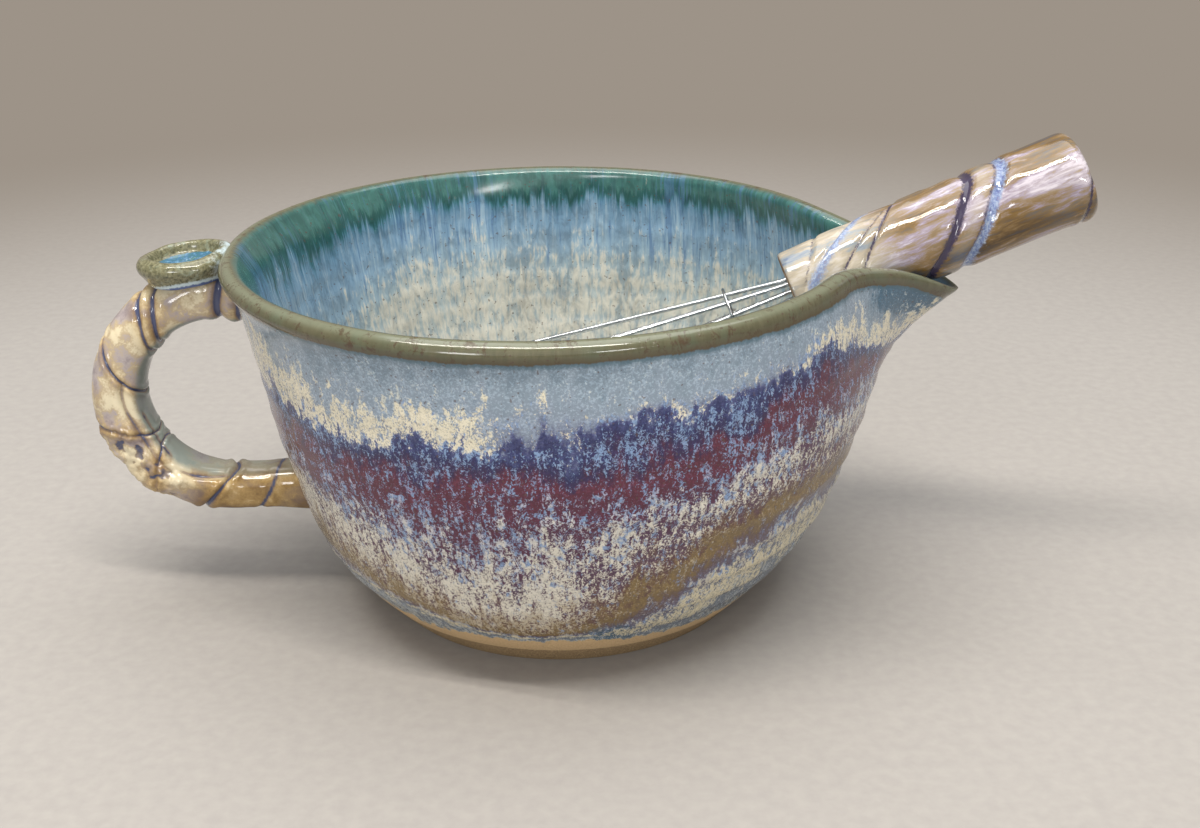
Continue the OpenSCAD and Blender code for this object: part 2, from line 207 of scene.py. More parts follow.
@dataclass(frozen=True)
class BowlGlaze(Finish):
    """Three rutile glazes dipped and poured over each other on speckled buff stoneware.

    The eye sees cream crystals that tore into streaks over indigo and plum on the outside, green
    that ran into blue and cream on the inside, an olive lip where the glaze is thin, and a bare
    sandy foot below a wavy tan edge.
    """

    title: str = "layered_rutile_glaze"
    # Each pattern's stretch down the wall, its grains per metre, detail, roughness and twist
    patterns: tuple = (
        ("torn", 0.34, 170.0, 5.0, 0.62, 0.25), ("patch", 0.45, 80.0, 3.0, 0.55, 0.0),
        ("clump", 0.6, 330.0, 3.0, 0.6, 0.6), ("speck", 0.8, 1050.0, 2.0, 0.7, 1.4),
        ("chill", 0.7, 560.0, 2.0, 0.6, 0.8), ("run", 0.09, 330.0, 4.0, 0.6, 0.0),
        ("hair", 0.07, 1050.0, 2.0, 0.6, 0.0), ("wide", 0.12, 62.0, 3.0, 0.5, 0.0),
        ("thread", 0.25, 900.0, 2.0, 0.6, 0.3), ("grog", 1.0, 1500.0, 4.0, 0.7, 0.0),
        ("iron", 1.0, 800.0, 1.0, 0.5, 0.0))
    # Outside, each stop is at a tenth of its layer's number, from the lip (0) to the foot (9)
    base: tuple = (
        (0.0, "#8699a8"), (0.05, "#9aabb9"), (0.12, "#9ba9b9"), (0.16, "#8590a5"), (0.195, "#525884"),
        (0.23, "#2d3463"), (0.29, "#3d2a50"), (0.335, "#632b3d"), (0.40, "#5c2d44"), (0.46, "#563a55"),
        (0.52, "#634759"), (0.565, "#6b4e45"), (0.60, "#8e774b"), (0.63, "#876f4a"), (0.66, "#6e5a58"),
        (0.69, "#6b6379"), (0.735, "#727a8a"), (0.79, "#838d96"), (0.82, "#78828f"), (0.87, "#7d8896"),
        (0.895, "#a3abac"))
    fleck: tuple = (
        (0.0, "#a9b8c1"), (0.09, "#b8c0bf"), (0.125, "#dcd4bb"), (0.19, "#e2d9c0"), (0.215, "#9fb1c8"),
        (0.29, "#8799bb"), (0.34, "#9189ae"), (0.41, "#b9bac8"), (0.46, "#d6d1c4"), (0.53, "#dad4c4"),
        (0.58, "#b9ab92"), (0.64, "#aa9d84"), (0.69, "#b2b0b0"), (0.74, "#d8cdae"), (0.80, "#d4caac"),
        (0.84, "#a9b2b8"), (0.88, "#b9bcb6"))
    cover: tuple = (
        (0.0, 0.06), (0.07, 0.10), (0.10, 0.38), (0.13, 0.80), (0.185, 0.88), (0.205, 0.46), (0.25, 0.41),
        (0.30, 0.34), (0.36, 0.29), (0.41, 0.48), (0.46, 0.66), (0.52, 0.64), (0.56, 0.48), (0.60, 0.26),
        (0.64, 0.28), (0.68, 0.36), (0.715, 0.76), (0.79, 0.90), (0.82, 0.54), (0.86, 0.42), (0.885, 0.5))
    cold: tuple = (
        (0.0, 0.3), (0.12, 0.12), (0.19, 0.15), (0.215, 0.8), (0.40, 0.65), (0.47, 0.3), (0.56, 0.25),
        (0.7, 0.35), (0.75, 0.05))
    # Inside, in layers from the lip (0) to the floor (1)
    pool: tuple = (
        (0.0, "#44716b"), (0.014, "#2f5e5a"), (0.038, "#2a5655"), (0.054, "#3b6c75"), (0.07, "#5a8299"),
        (0.10, "#6f91aa"), (0.17, "#7f9eb6"), (0.25, "#8da8ba"), (0.32, "#9fb2ba"), (0.45, "#adb9ba"),
        (0.7, "#9aa9ae"), (1.0, "#9fa9a6"))

    def shade(self, tree: bpy.types.NodeTree) -> bpy.types.Node:
        """Adds the glaze's nodes to the tree.

        Args:
            tree: the material's node tree.

        Returns:
            The shader node.
        """
        read = {
            name: add_node(tree, "ShaderNodeAttribute", attribute_name=name).outputs["Fac"]
            for name in ("layer_out", "layer_in", "from_lip", "extra", "ring", "beak")}
        grain = self.grains(tree)
        ragged = self.torn_layer(tree, read["layer_out"], grain)
        outside, shown = self.crystals(tree, read, grain, ragged)
        inside = self.streaks(tree, read, grain)
        out_side = add_node(
            tree, "ShaderNodeMapRange",
            {"Value": read["from_lip"], "From Min": -0.5, "From Max": 0.5}).outputs[0]
        both = add_node(
            tree, "ShaderNodeMix", {0: out_side, MIX_A: inside, MIX_B: outside},
            data_type="RGBA").outputs[MIX_OUT]
        glazed, on_lip = self.lip(tree, read["from_lip"], grain, both)
        clay = self.clay(tree, read["layer_out"], grain)
        foot = add_node(
            tree, "ShaderNodeMapRange", {"Value": ragged, "From Min": 9.02, "From Max": 9.08},
            interpolation_type="SMOOTHSTEP").outputs[0]
        foot = add_node(tree, "ShaderNodeMath", {0: foot, 1: out_side}, operation="MULTIPLY").outputs[0]
        color = add_node(
            tree, "ShaderNodeMix", {0: foot, MIX_A: glazed, MIX_B: clay}, data_type="RGBA").outputs[MIX_OUT]
        # The lip is the glossiest, the crystals are duller than the glaze, and the clay is matt
        dull = add_node(tree, "ShaderNodeMapRange", {"Value": foot, "To Min": 0.17, "To Max": 0.85}).outputs[0]
        dull = add_node(
            tree, "ShaderNodeMath", {0: shown, 1: 0.12, 2: dull}, operation="MULTIPLY_ADD").outputs[0]
        dull = add_node(
            tree, "ShaderNodeMath", {0: on_lip, 1: -0.06, 2: dull}, operation="MULTIPLY_ADD").outputs[0]
        # The crystals stand a little proud, and the clay lies under the glaze's edge and is gritty
        rise = add_node(
            tree, "ShaderNodeMath", {0: grain["torn"], 1: 0.3, 2: shown}, operation="MULTIPLY_ADD").outputs[0]
        drop = add_node(
            tree, "ShaderNodeMath", {0: foot, 1: -2.5, 2: rise}, operation="MULTIPLY_ADD").outputs[0]
        grit = add_node(tree, "ShaderNodeMath", {0: grain["grog"], 1: foot}, operation="MULTIPLY").outputs[0]
        height = add_node(
            tree, "ShaderNodeMath", {0: grit, 1: 0.5, 2: drop}, operation="MULTIPLY_ADD").outputs[0]
        bump = add_node(
            tree, "ShaderNodeBump", {"Height": height, "Strength": 0.35, "Distance": 0.10 * MM}).outputs[0]
        return add_node(
            tree, "ShaderNodeBsdfPrincipled",
            {"Base Color": color, "Roughness": dull, "IOR": GLAZE_IOR, "Normal": bump})

    def grains(self, tree: bpy.types.NodeTree) -> Sockets:
        """Adds the glaze's patterns.

        Args:
            tree: the material's node tree.

        Returns:
            Each pattern by its name, from about -1 to 1.
        """
        turned = add_node(tree, "ShaderNodeAttribute", attribute_name="turned").outputs["Vector"]
        grain = {}
        for name, stretch, scale, detail, rough, twist in self.patterns:
            at = add_node(
                tree, "ShaderNodeVectorMath", {0: turned, 1: (1.0, 1.0, stretch)},
                operation="MULTIPLY").outputs[0]
            value = add_node(
                tree, "ShaderNodeTexNoise",
                {
                    "Vector": at, "Scale": scale, "Detail": detail, "Roughness": rough,
                    "Distortion": twist}).outputs["Fac"]
            grain[name] = add_node(
                tree, "ShaderNodeMapRange", {"Value": value, "From Min": 0.3, "From Max": 0.7, "To Min": -1.0},
                clamp=False).outputs[0]
        return grain

    def torn_layer(
        self, tree: bpy.types.NodeTree, layer: bpy.types.NodeSocket, grain: Sockets) -> bpy.types.NodeSocket:
        """Tears the edge of every layer in runs 6 mm wide, and frays it with clumps of 3 mm.

        Args:
            tree: the material's node tree.
            layer: the layer's number.
            grain: the glaze's patterns.

        Returns:
            The layer's number with its edges torn, and torn less near the foot.
        """
        calm = add_node(
            tree, "ShaderNodeMapRange",
            {"Value": layer, "From Min": 4.6, "From Max": 6.2, "To Min": 0.52, "To Max": 0.26}).outputs[0]
        shift = add_node(tree, "ShaderNodeMath", {0: grain["torn"], 1: calm}, operation="MULTIPLY").outputs[0]
        moved = add_node(tree, "ShaderNodeMath", {0: layer, 1: shift}, operation="ADD").outputs[0]
        return add_node(
            tree, "ShaderNodeMath", {0: grain["clump"], 1: 0.30, 2: moved}, operation="MULTIPLY_ADD").outputs[0]

    def crystals(
        self, tree: bpy.types.NodeTree, read: Sockets, grain: Sockets, ragged: bpy.types.NodeSocket
    ) -> tuple[bpy.types.NodeSocket, bpy.types.NodeSocket]:
        """Colours the outside: dark layers, and cream crystals over them.

        Args:
            tree: the material's node tree.
            read: the attributes stored on the body.
            grain: the glaze's patterns.
            ragged: the layer's number with its edges torn.

        Returns:
            The colour, and how much of the crystals shows.
        """
        frayed = add_node(
            tree, "ShaderNodeMath", {0: grain["speck"], 1: 0.22, 2: ragged},
            operation="MULTIPLY_ADD").outputs[0]
        place = add_node(tree, "ShaderNodeMath", {0: frayed, 1: 0.1}, operation="MULTIPLY").outputs[0]
        gentle = add_node(tree, "ShaderNodeMath", {0: ragged, 1: 0.1}, operation="MULTIPLY").outputs[0]
        base, fleck, cover, cold = (
            add_node(tree, "ShaderNodeValToRGB", {"Fac": at}, stops=stops).outputs[0]
            for at, stops in (
                (place, self.base), (gentle, self.fleck), (gentle, self.cover), (gentle, self.cold)))
        # Where the cream is thin the crystals are a cold blue
        cold = add_node(
            tree, "ShaderNodeMath", {0: read["extra"], 1: -1.1, 2: cold}, operation="MULTIPLY_ADD").outputs[0]
        chill = add_node(
            tree, "ShaderNodeMath", {0: grain["chill"], 1: 0.5, 2: cold}, operation="MULTIPLY_ADD").outputs[0]
        chill = add_node(
            tree, "ShaderNodeMapRange", {"Value": chill, "From Min": 0.25, "From Max": 0.75},
            interpolation_type="SMOOTHSTEP").outputs[0]
        fleck = add_node(
            tree, "ShaderNodeMix", {0: chill, MIX_A: fleck, MIX_B: "#7f99bd"},
            data_type="RGBA").outputs[MIX_OUT]

        # Blue has pooled under the beak of the spout, and in one place over the foot
        beaked = add_node(
            tree, "ShaderNodeMath", {0: grain["thread"], 1: 0.30, 2: read["beak"]},
            operation="MULTIPLY_ADD").outputs[0]
        beaked = add_node(
            tree, "ShaderNodeMapRange", {"Value": beaked, "From Min": 0.15, "From Max": 0.8, "To Max": 0.9},
            interpolation_type="SMOOTHSTEP").outputs[0]
        base = add_node(
            tree, "ShaderNodeMix", {0: beaked, MIX_A: base, MIX_B: "#3f6780"},
            data_type="RGBA").outputs[MIX_OUT]

        # Crystals just under a millimetre across gather in clumps of 3 mm and patches of a centimetre
        over = add_node(tree, "ShaderNodeMath", {0: cover, 1: read["extra"]}, operation="ADD").outputs[0]
        for name, share in (("patch", 0.15), ("clump", 0.20), ("thread", 0.24), ("speck", 0.48)):
            over = add_node(
                tree, "ShaderNodeMath", {0: grain[name], 1: share, 2: over},
                operation="MULTIPLY_ADD").outputs[0]
        shown = add_node(
            tree, "ShaderNodeMapRange", {"Value": over, "From Min": 0.42, "From Max": 0.74, "To Max": 0.95},
            interpolation_type="SMOOTHSTEP").outputs[0]
        outside = add_node(
            tree, "ShaderNodeMix", {0: shown, MIX_A: base, MIX_B: fleck}, data_type="RGBA").outputs[MIX_OUT]
        # Each crystal is pale in its middle and dark at its edge, at about half a millimetre
        glint = add_node(
            tree, "ShaderNodeMath", {0: over, 1: 0.55, 2: grain["grog"]}, operation="MULTIPLY_ADD").outputs[0]
        glint = add_node(
            tree, "ShaderNodeValToRGB", {"Fac": glint},
            stops=[(0.0, "#d6d6d6"), (0.45, "#fafafa"), (0.8, "#ffffff")]).outputs[0]
        outside = add_node(
            tree, "ShaderNodeMix", {0: 1.0, MIX_A: outside, MIX_B: glint}, data_type="RGBA",
            blend_type="MULTIPLY").outputs[MIX_OUT]
        return outside, shown

    def streaks(self, tree: bpy.types.NodeTree, read: Sockets, grain: Sockets) -> bpy.types.NodeSocket:
        """Colours the inside: green that runs into blue, and cream sown over the blue.

        Args:
            tree: the material's node tree.
            read: the attributes stored on the body.
            grain: the glaze's patterns.

        Returns:
            The colour.
        """
        # Streaks from 1 to 3 mm wide run a long way down the wall
        sway = read["layer_in"]
        for name, share in (("run", 0.030), ("wide", 0.022), ("hair", 0.020)):
            sway = add_node(
                tree, "ShaderNodeMath", {0: grain[name], 1: share, 2: sway},
                operation="MULTIPLY_ADD").outputs[0]
        wash = add_node(tree, "ShaderNodeValToRGB", {"Fac": sway}, stops=self.pool).outputs[0]
        # Pale streaks below the green
        comb = add_node(
            tree, "ShaderNodeMath", {0: grain["run"], 1: 0.6, 2: grain["hair"]},
            operation="MULTIPLY_ADD").outputs[0]
        pale = add_node(
            tree, "ShaderNodeMapRange", {"Value": comb, "From Min": 0.0, "From Max": 1.1, "To Max": 0.55},
            interpolation_type="SMOOTHSTEP").outputs[0]
        low_down = add_node(
            tree, "ShaderNodeMapRange",
            {"Value": sway, "From Min": 0.05, "From Max": 0.12, "To Min": 0.15}).outputs[0]
        pale = add_node(tree, "ShaderNodeMath", {0: pale, 1: low_down}, operation="MULTIPLY").outputs[0]
        wash = add_node(
            tree, "ShaderNodeMix", {0: pale, MIX_A: wash, MIX_B: "#a3b8c2"}, data_type="RGBA").outputs[MIX_OUT]
        # Deep blue streaks on the upper half of the wall
        dusk = add_node(
            tree, "ShaderNodeMath", {0: grain["wide"], 1: -0.8, 2: comb}, operation="MULTIPLY_ADD").outputs[0]
        dusk = add_node(
            tree, "ShaderNodeMapRange", {"Value": dusk, "From Min": -0.3, "From Max": -1.3, "To Max": 0.55},
            interpolation_type="SMOOTHSTEP").outputs[0]
        upper = add_node(
            tree, "ShaderNodeMapRange", {"Value": sway, "From Min": 0.36, "From Max": 0.22}).outputs[0]
        dusk = add_node(tree, "ShaderNodeMath", {0: dusk, 1: upper}, operation="MULTIPLY").outputs[0]
        wash = add_node(
            tree, "ShaderNodeMix", {0: dusk, MIX_A: wash, MIX_B: "#4c6b93"}, data_type="RGBA").outputs[MIX_OUT]
        # Cream, thicker towards the floor and on each throwing ring
        sown = add_node(
            tree, "ShaderNodeMapRange",
            {"Value": sway, "From Min": 0.10, "From Max": 0.38, "To Min": -0.28, "To Max": 0.52}).outputs[0]
        for source, share in (
            (read["ring"], 0.09), (grain["run"], 0.20), (grain["clump"], 0.18), (grain["thread"], 0.35)):
            sown = add_node(
                tree, "ShaderNodeMath", {0: source, 1: share, 2: sown}, operation="MULTIPLY_ADD").outputs[0]
        sown = add_node(
            tree, "ShaderNodeMapRange", {"Value": sown, "From Min": 0.15, "From Max": 0.75, "To Max": 0.88},
            interpolation_type="SMOOTHSTEP").outputs[0]
        inside = add_node(
            tree, "ShaderNodeMix", {0: sown, MIX_A: wash, MIX_B: "#d0ccbd"}, data_type="RGBA").outputs[MIX_OUT]
        # Clouds of thinner glaze
        cloudy = add_node(
            tree, "ShaderNodeMath", {0: grain["wide"], 1: 0.6, 2: grain["clump"]},
            operation="MULTIPLY_ADD").outputs[0]
        cloudy = add_node(
            tree, "ShaderNodeMapRange", {"Value": cloudy, "From Min": -1.0, "From Max": 1.0}).outputs[0]
        cloudy = add_node(
            tree, "ShaderNodeValToRGB", {"Fac": cloudy},
            stops=[(0.0, "#cfcfcf"), (0.5, "#f0f0f0"), (1.0, "#ffffff")]).outputs[0]
        return add_node(
            tree, "ShaderNodeMix", {0: 1.0, MIX_A: inside, MIX_B: cloudy}, data_type="RGBA",
            blend_type="MULTIPLY").outputs[MIX_OUT]

    def lip(
        self,
        tree: bpy.types.NodeTree,
        from_lip: bpy.types.NodeSocket,
        grain: Sockets,
        both: bpy.types.NodeSocket,
    ) -> tuple[bpy.types.NodeSocket, bpy.types.NodeSocket]:
        """Lays the olive lip over the glazes, with a thin teal line under it and specks of iron.

        Args:
            tree: the material's node tree.
            from_lip: the way from the crest of the lip in mm, above 0 outside.
            grain: the glaze's patterns.
            both: the colour of the inside and the outside.

        Returns:
            The colour of all the glazes, and how much of it is the lip's.
        """
        # Fine threads cross the lip, and it breaks to brown where the glaze has run thin
        olive = add_node(
            tree, "ShaderNodeMapRange",
            {"Value": grain["thread"], "From Min": -1.0, "From Max": 1.0}).outputs[0]
        olive = add_node(
            tree, "ShaderNodeMix", {0: olive, MIX_A: "#54523e", MIX_B: "#605d48"},
            data_type="RGBA").outputs[MIX_OUT]
        mossy = add_node(
            tree, "ShaderNodeMapRange",
            {"Value": grain["patch"], "From Min": -0.2, "From Max": 0.9, "To Max": 0.6},
            interpolation_type="SMOOTHSTEP").outputs[0]
        olive = add_node(
            tree, "ShaderNodeMix", {0: mossy, MIX_A: olive, MIX_B: "#56624f"},
            data_type="RGBA").outputs[MIX_OUT]
        rust = add_node(
            tree, "ShaderNodeMath", {0: grain["clump"], 1: 0.6, 2: grain["patch"]},
            operation="MULTIPLY_ADD").outputs[0]
        rust = add_node(
            tree, "ShaderNodeMapRange", {"Value": rust, "From Min": 0.35, "From Max": 1.1, "To Max": 0.75},
            interpolation_type="SMOOTHSTEP").outputs[0]
        olive = add_node(
            tree, "ShaderNodeMix", {0: rust, MIX_A: olive, MIX_B: "#50382a"}, data_type="RGBA").outputs[MIX_OUT]
        # A painted highlight makes its crest paler, and brown freckles are scattered over it
        crest = add_node(tree, "ShaderNodeMath", {0: from_lip, 1: 0.4}, operation="SUBTRACT").outputs[0]
        crest = add_node(tree, "ShaderNodeMath", {0: crest}, operation="ABSOLUTE").outputs[0]
        crest = add_node(
            tree, "ShaderNodeMapRange", {"Value": crest, "From Min": 2.4, "From Max": 0.3, "To Max": 0.5},
            interpolation_type="SMOOTHSTEP").outputs[0]
        olive = add_node(
            tree, "ShaderNodeMix", {0: crest, MIX_A: olive, MIX_B: "#7b816d"},
            data_type="RGBA").outputs[MIX_OUT]
        freckle = add_node(
            tree, "ShaderNodeMath", {0: grain["speck"], 1: 0.6, 2: grain["clump"]},
            operation="MULTIPLY_ADD").outputs[0]
        freckle = add_node(
            tree, "ShaderNodeMapRange", {"Value": freckle, "From Min": 0.35, "From Max": 1.0, "To Max": 0.7},
            interpolation_type="SMOOTHSTEP").outputs[0]
        olive = add_node(
            tree, "ShaderNodeMix", {0: freckle, MIX_A: olive, MIX_B: "#4a3a2b"},
            data_type="RGBA").outputs[MIX_OUT]
        # Its edges wander, and the lower one is brown over a thin teal line
        wander = from_lip
        for name, share in (("torn", 0.35), ("thread", 0.25)):
            wander = add_node(
                tree, "ShaderNodeMath", {0: grain[name], 1: share, 2: wander},
                operation="MULTIPLY_ADD").outputs[0]
        hem = add_node(
            tree, "ShaderNodeMapRange", {"Value": wander, "From Min": 4.2, "From Max": 6.6, "To Max": 0.7},
            interpolation_type="SMOOTHSTEP").outputs[0]
        olive = add_node(
            tree, "ShaderNodeMix", {0: hem, MIX_A: olive, MIX_B: "#4f4230"}, data_type="RGBA").outputs[MIX_OUT]
        above, within, line_low, line_high = (
            add_node(
                tree, "ShaderNodeMapRange",
                {"Value": wander, "From Min": low, "From Max": high, "To Max": most},
                interpolation_type="SMOOTHSTEP").outputs[0]
            for low, high, most in ((7.2, 6.5, 1.0), (-4.0, -1.2, 1.0), (6.3, 7.0, 1.0), (8.6, 7.2, 0.7)))
        on_lip = add_node(tree, "ShaderNodeMath", {0: above, 1: within}, operation="MULTIPLY").outputs[0]
        line = add_node(tree, "ShaderNodeMath", {0: line_low, 1: line_high}, operation="MULTIPLY").outputs[0]
        glazed = add_node(
            tree, "ShaderNodeMix", {0: on_lip, MIX_A: both, MIX_B: olive}, data_type="RGBA").outputs[MIX_OUT]
        glazed = add_node(
            tree, "ShaderNodeMix", {0: line, MIX_A: glazed, MIX_B: "#3f5c68"},
            data_type="RGBA").outputs[MIX_OUT]
        iron = add_node(
            tree, "ShaderNodeMapRange",
            {"Value": grain["iron"], "From Min": 0.95, "From Max": 1.15, "To Max": 0.6}).outputs[0]
        return add_node(
            tree, "ShaderNodeMix", {0: iron, MIX_A: glazed, MIX_B: "#53413a"},
            data_type="RGBA").outputs[MIX_OUT], on_lip

    def clay(
        self, tree: bpy.types.NodeTree, layer: bpy.types.NodeSocket, grain: Sockets
    ) -> bpy.types.NodeSocket:
        """Colours the bare clay: pale under the glaze's edge, and brown with grog where it was trimmed.

        Args:
            tree: the material's node tree.
            layer: the layer's number, 10 and more where the clay was trimmed.
            grain: the glaze's patterns.

        Returns:
            The colour.
        """
        grog = add_node(
            tree, "ShaderNodeMapRange", {"Value": grain["grog"], "From Min": -1.1, "From Max": 1.1}).outputs[0]
        brown = add_node(
            tree, "ShaderNodeValToRGB", {"Fac": grog},
            stops=[(0.0, "#54432e"), (0.3, "#836c4c"), (0.6, "#9f8560"), (1.0, "#c2a87e")]).outputs[0]
        tan = add_node(
            tree, "ShaderNodeValToRGB", {"Fac": grog},
            stops=[(0.0, "#a58a64"), (0.4, "#c2a47a"), (1.0, "#d2b88e")]).outputs[0]
        trimmed = add_node(
            tree, "ShaderNodeMapRange", {"Value": layer, "From Min": 9.95, "From Max": 10.10}).outputs[0]
        return add_node(
            tree, "ShaderNodeMix", {0: trimmed, MIX_A: tan, MIX_B: brown}, data_type="RGBA").outputs[MIX_OUT]


@dataclass(frozen=True)
class PulledGlaze(Finish):
    """The same rutile glaze on the pulled handle, where it breaks over every edge of the clay.

    The eye sees glossy tan and cream over the high places, lavender on the flats, and dark blue
    that has pooled in the grooves.
    """

    title: str = "breaking_rutile_glaze"
    high: str = "#d6caac"
    flat: str = "#ada29e"
    warm: str = "#a98b58"
    groove: str = "#3c4767"
    strip: str = "#76827f"
    rough: float = 0.10

    def shade(self, tree: bpy.types.NodeTree) -> bpy.types.Node:
        """Adds the glaze's nodes to the tree.

        Args:
            tree: the material's node tree.

        Returns:
            The shader node.
        """
        spot = add_node(tree, "ShaderNodeTexCoord").outputs["Object"]
        groove, warmth, strip = (
            add_node(tree, "ShaderNodeAttribute", attribute_name=name).outputs["Fac"]
            for name in ("groove", "warm", "strip"))
        # Clouds about 9 mm across, broken into streaks of 2 mm and grains of 0.7 mm
        cloud = add_node(
            tree, "ShaderNodeTexNoise",
            {
                "Vector": spot, "Scale": 105.0, "Detail": 2.5, "Roughness": 0.55,
                "Distortion": 0.4}).outputs["Fac"]
        streak = add_node(
            tree, "ShaderNodeTexNoise",
            {
                "Vector": spot, "Scale": 420.0, "Detail": 4.0, "Roughness": 0.62,
                "Distortion": 0.8}).outputs["Fac"]
        grain = add_node(
            tree, "ShaderNodeTexNoise",
            {"Vector": spot, "Scale": 1400.0, "Detail": 3.0, "Roughness": 0.7}).outputs["Fac"]
        mixed = add_node(
            tree, "ShaderNodeMath", {0: streak, 1: 0.3, 2: cloud}, operation="MULTIPLY_ADD").outputs[0]
        mixed = add_node(
            tree, "ShaderNodeMath", {0: grain, 1: 0.2, 2: mixed}, operation="MULTIPLY_ADD").outputs[0]
        tone = add_node(
            tree, "ShaderNodeMapRange", {"Value": mixed, "From Min": 0.50, "From Max": 1.0}).outputs[0]
        color = add_node(
            tree, "ShaderNodeValToRGB", {"Fac": tone},
            stops=[
                (0.1, "#ddd1b2"), (0.35, self.high), (0.52, "#b7a587"), (0.68, self.flat),
                (0.95, "#93888b")]).outputs[0]
        gold = add_node(
            tree, "ShaderNodeValToRGB", {"Fac": tone},
            stops=[(0.1, "#cdb588"), (0.4, self.warm), (0.7, "#85693f"), (0.95, "#735c48")]).outputs[0]
        color = add_node(
            tree, "ShaderNodeMix", {0: warmth, MIX_A: color, MIX_B: gold}, data_type="RGBA").outputs[MIX_OUT]
        side = add_node(
            tree, "ShaderNodeMath", {0: tone, 1: -0.5, 2: strip}, operation="MULTIPLY_ADD").outputs[0]
        side = add_node(
            tree, "ShaderNodeMapRange",
            {"Value": side, "From Min": -0.1, "From Max": 0.55, "To Max": 0.9}).outputs[0]
        color = add_node(
            tree, "ShaderNodeMix", {0: side, MIX_A: color, MIX_B: self.strip},
            data_type="RGBA").outputs[MIX_OUT]
        # The blue lies in the bottom of each groove, with a brown edge where the glaze broke
        pooled = add_node(
            tree, "ShaderNodeMath", {0: tone, 1: 0.5, 2: groove}, operation="MULTIPLY_ADD").outputs[0]
        edge = add_node(
            tree, "ShaderNodeMapRange", {"Value": pooled, "From Min": 0.42, "From Max": 0.75, "To Max": 0.7},
            interpolation_type="SMOOTHSTEP").outputs[0]
        color = add_node(
            tree, "ShaderNodeMix", {0: edge, MIX_A: color, MIX_B: "#86705c"}, data_type="RGBA").outputs[MIX_OUT]
        pooled = add_node(
            tree, "ShaderNodeMapRange", {"Value": pooled, "From Min": 0.72, "From Max": 1.1, "To Max": 0.92},
            interpolation_type="SMOOTHSTEP").outputs[0]
        color = add_node(
            tree, "ShaderNodeMix", {0: pooled, MIX_A: color, MIX_B: self.groove},
            data_type="RGBA").outputs[MIX_OUT]
        bump = add_node(
            tree, "ShaderNodeBump", {"Height": mixed, "Strength": 0.14, "Distance": 0.3 * MM}).outputs[0]
        return add_node(
            tree, "ShaderNodeBsdfPrincipled",
            {"Base Color": color, "Roughness": self.rough, "IOR": GLAZE_IOR, "Normal": bump})


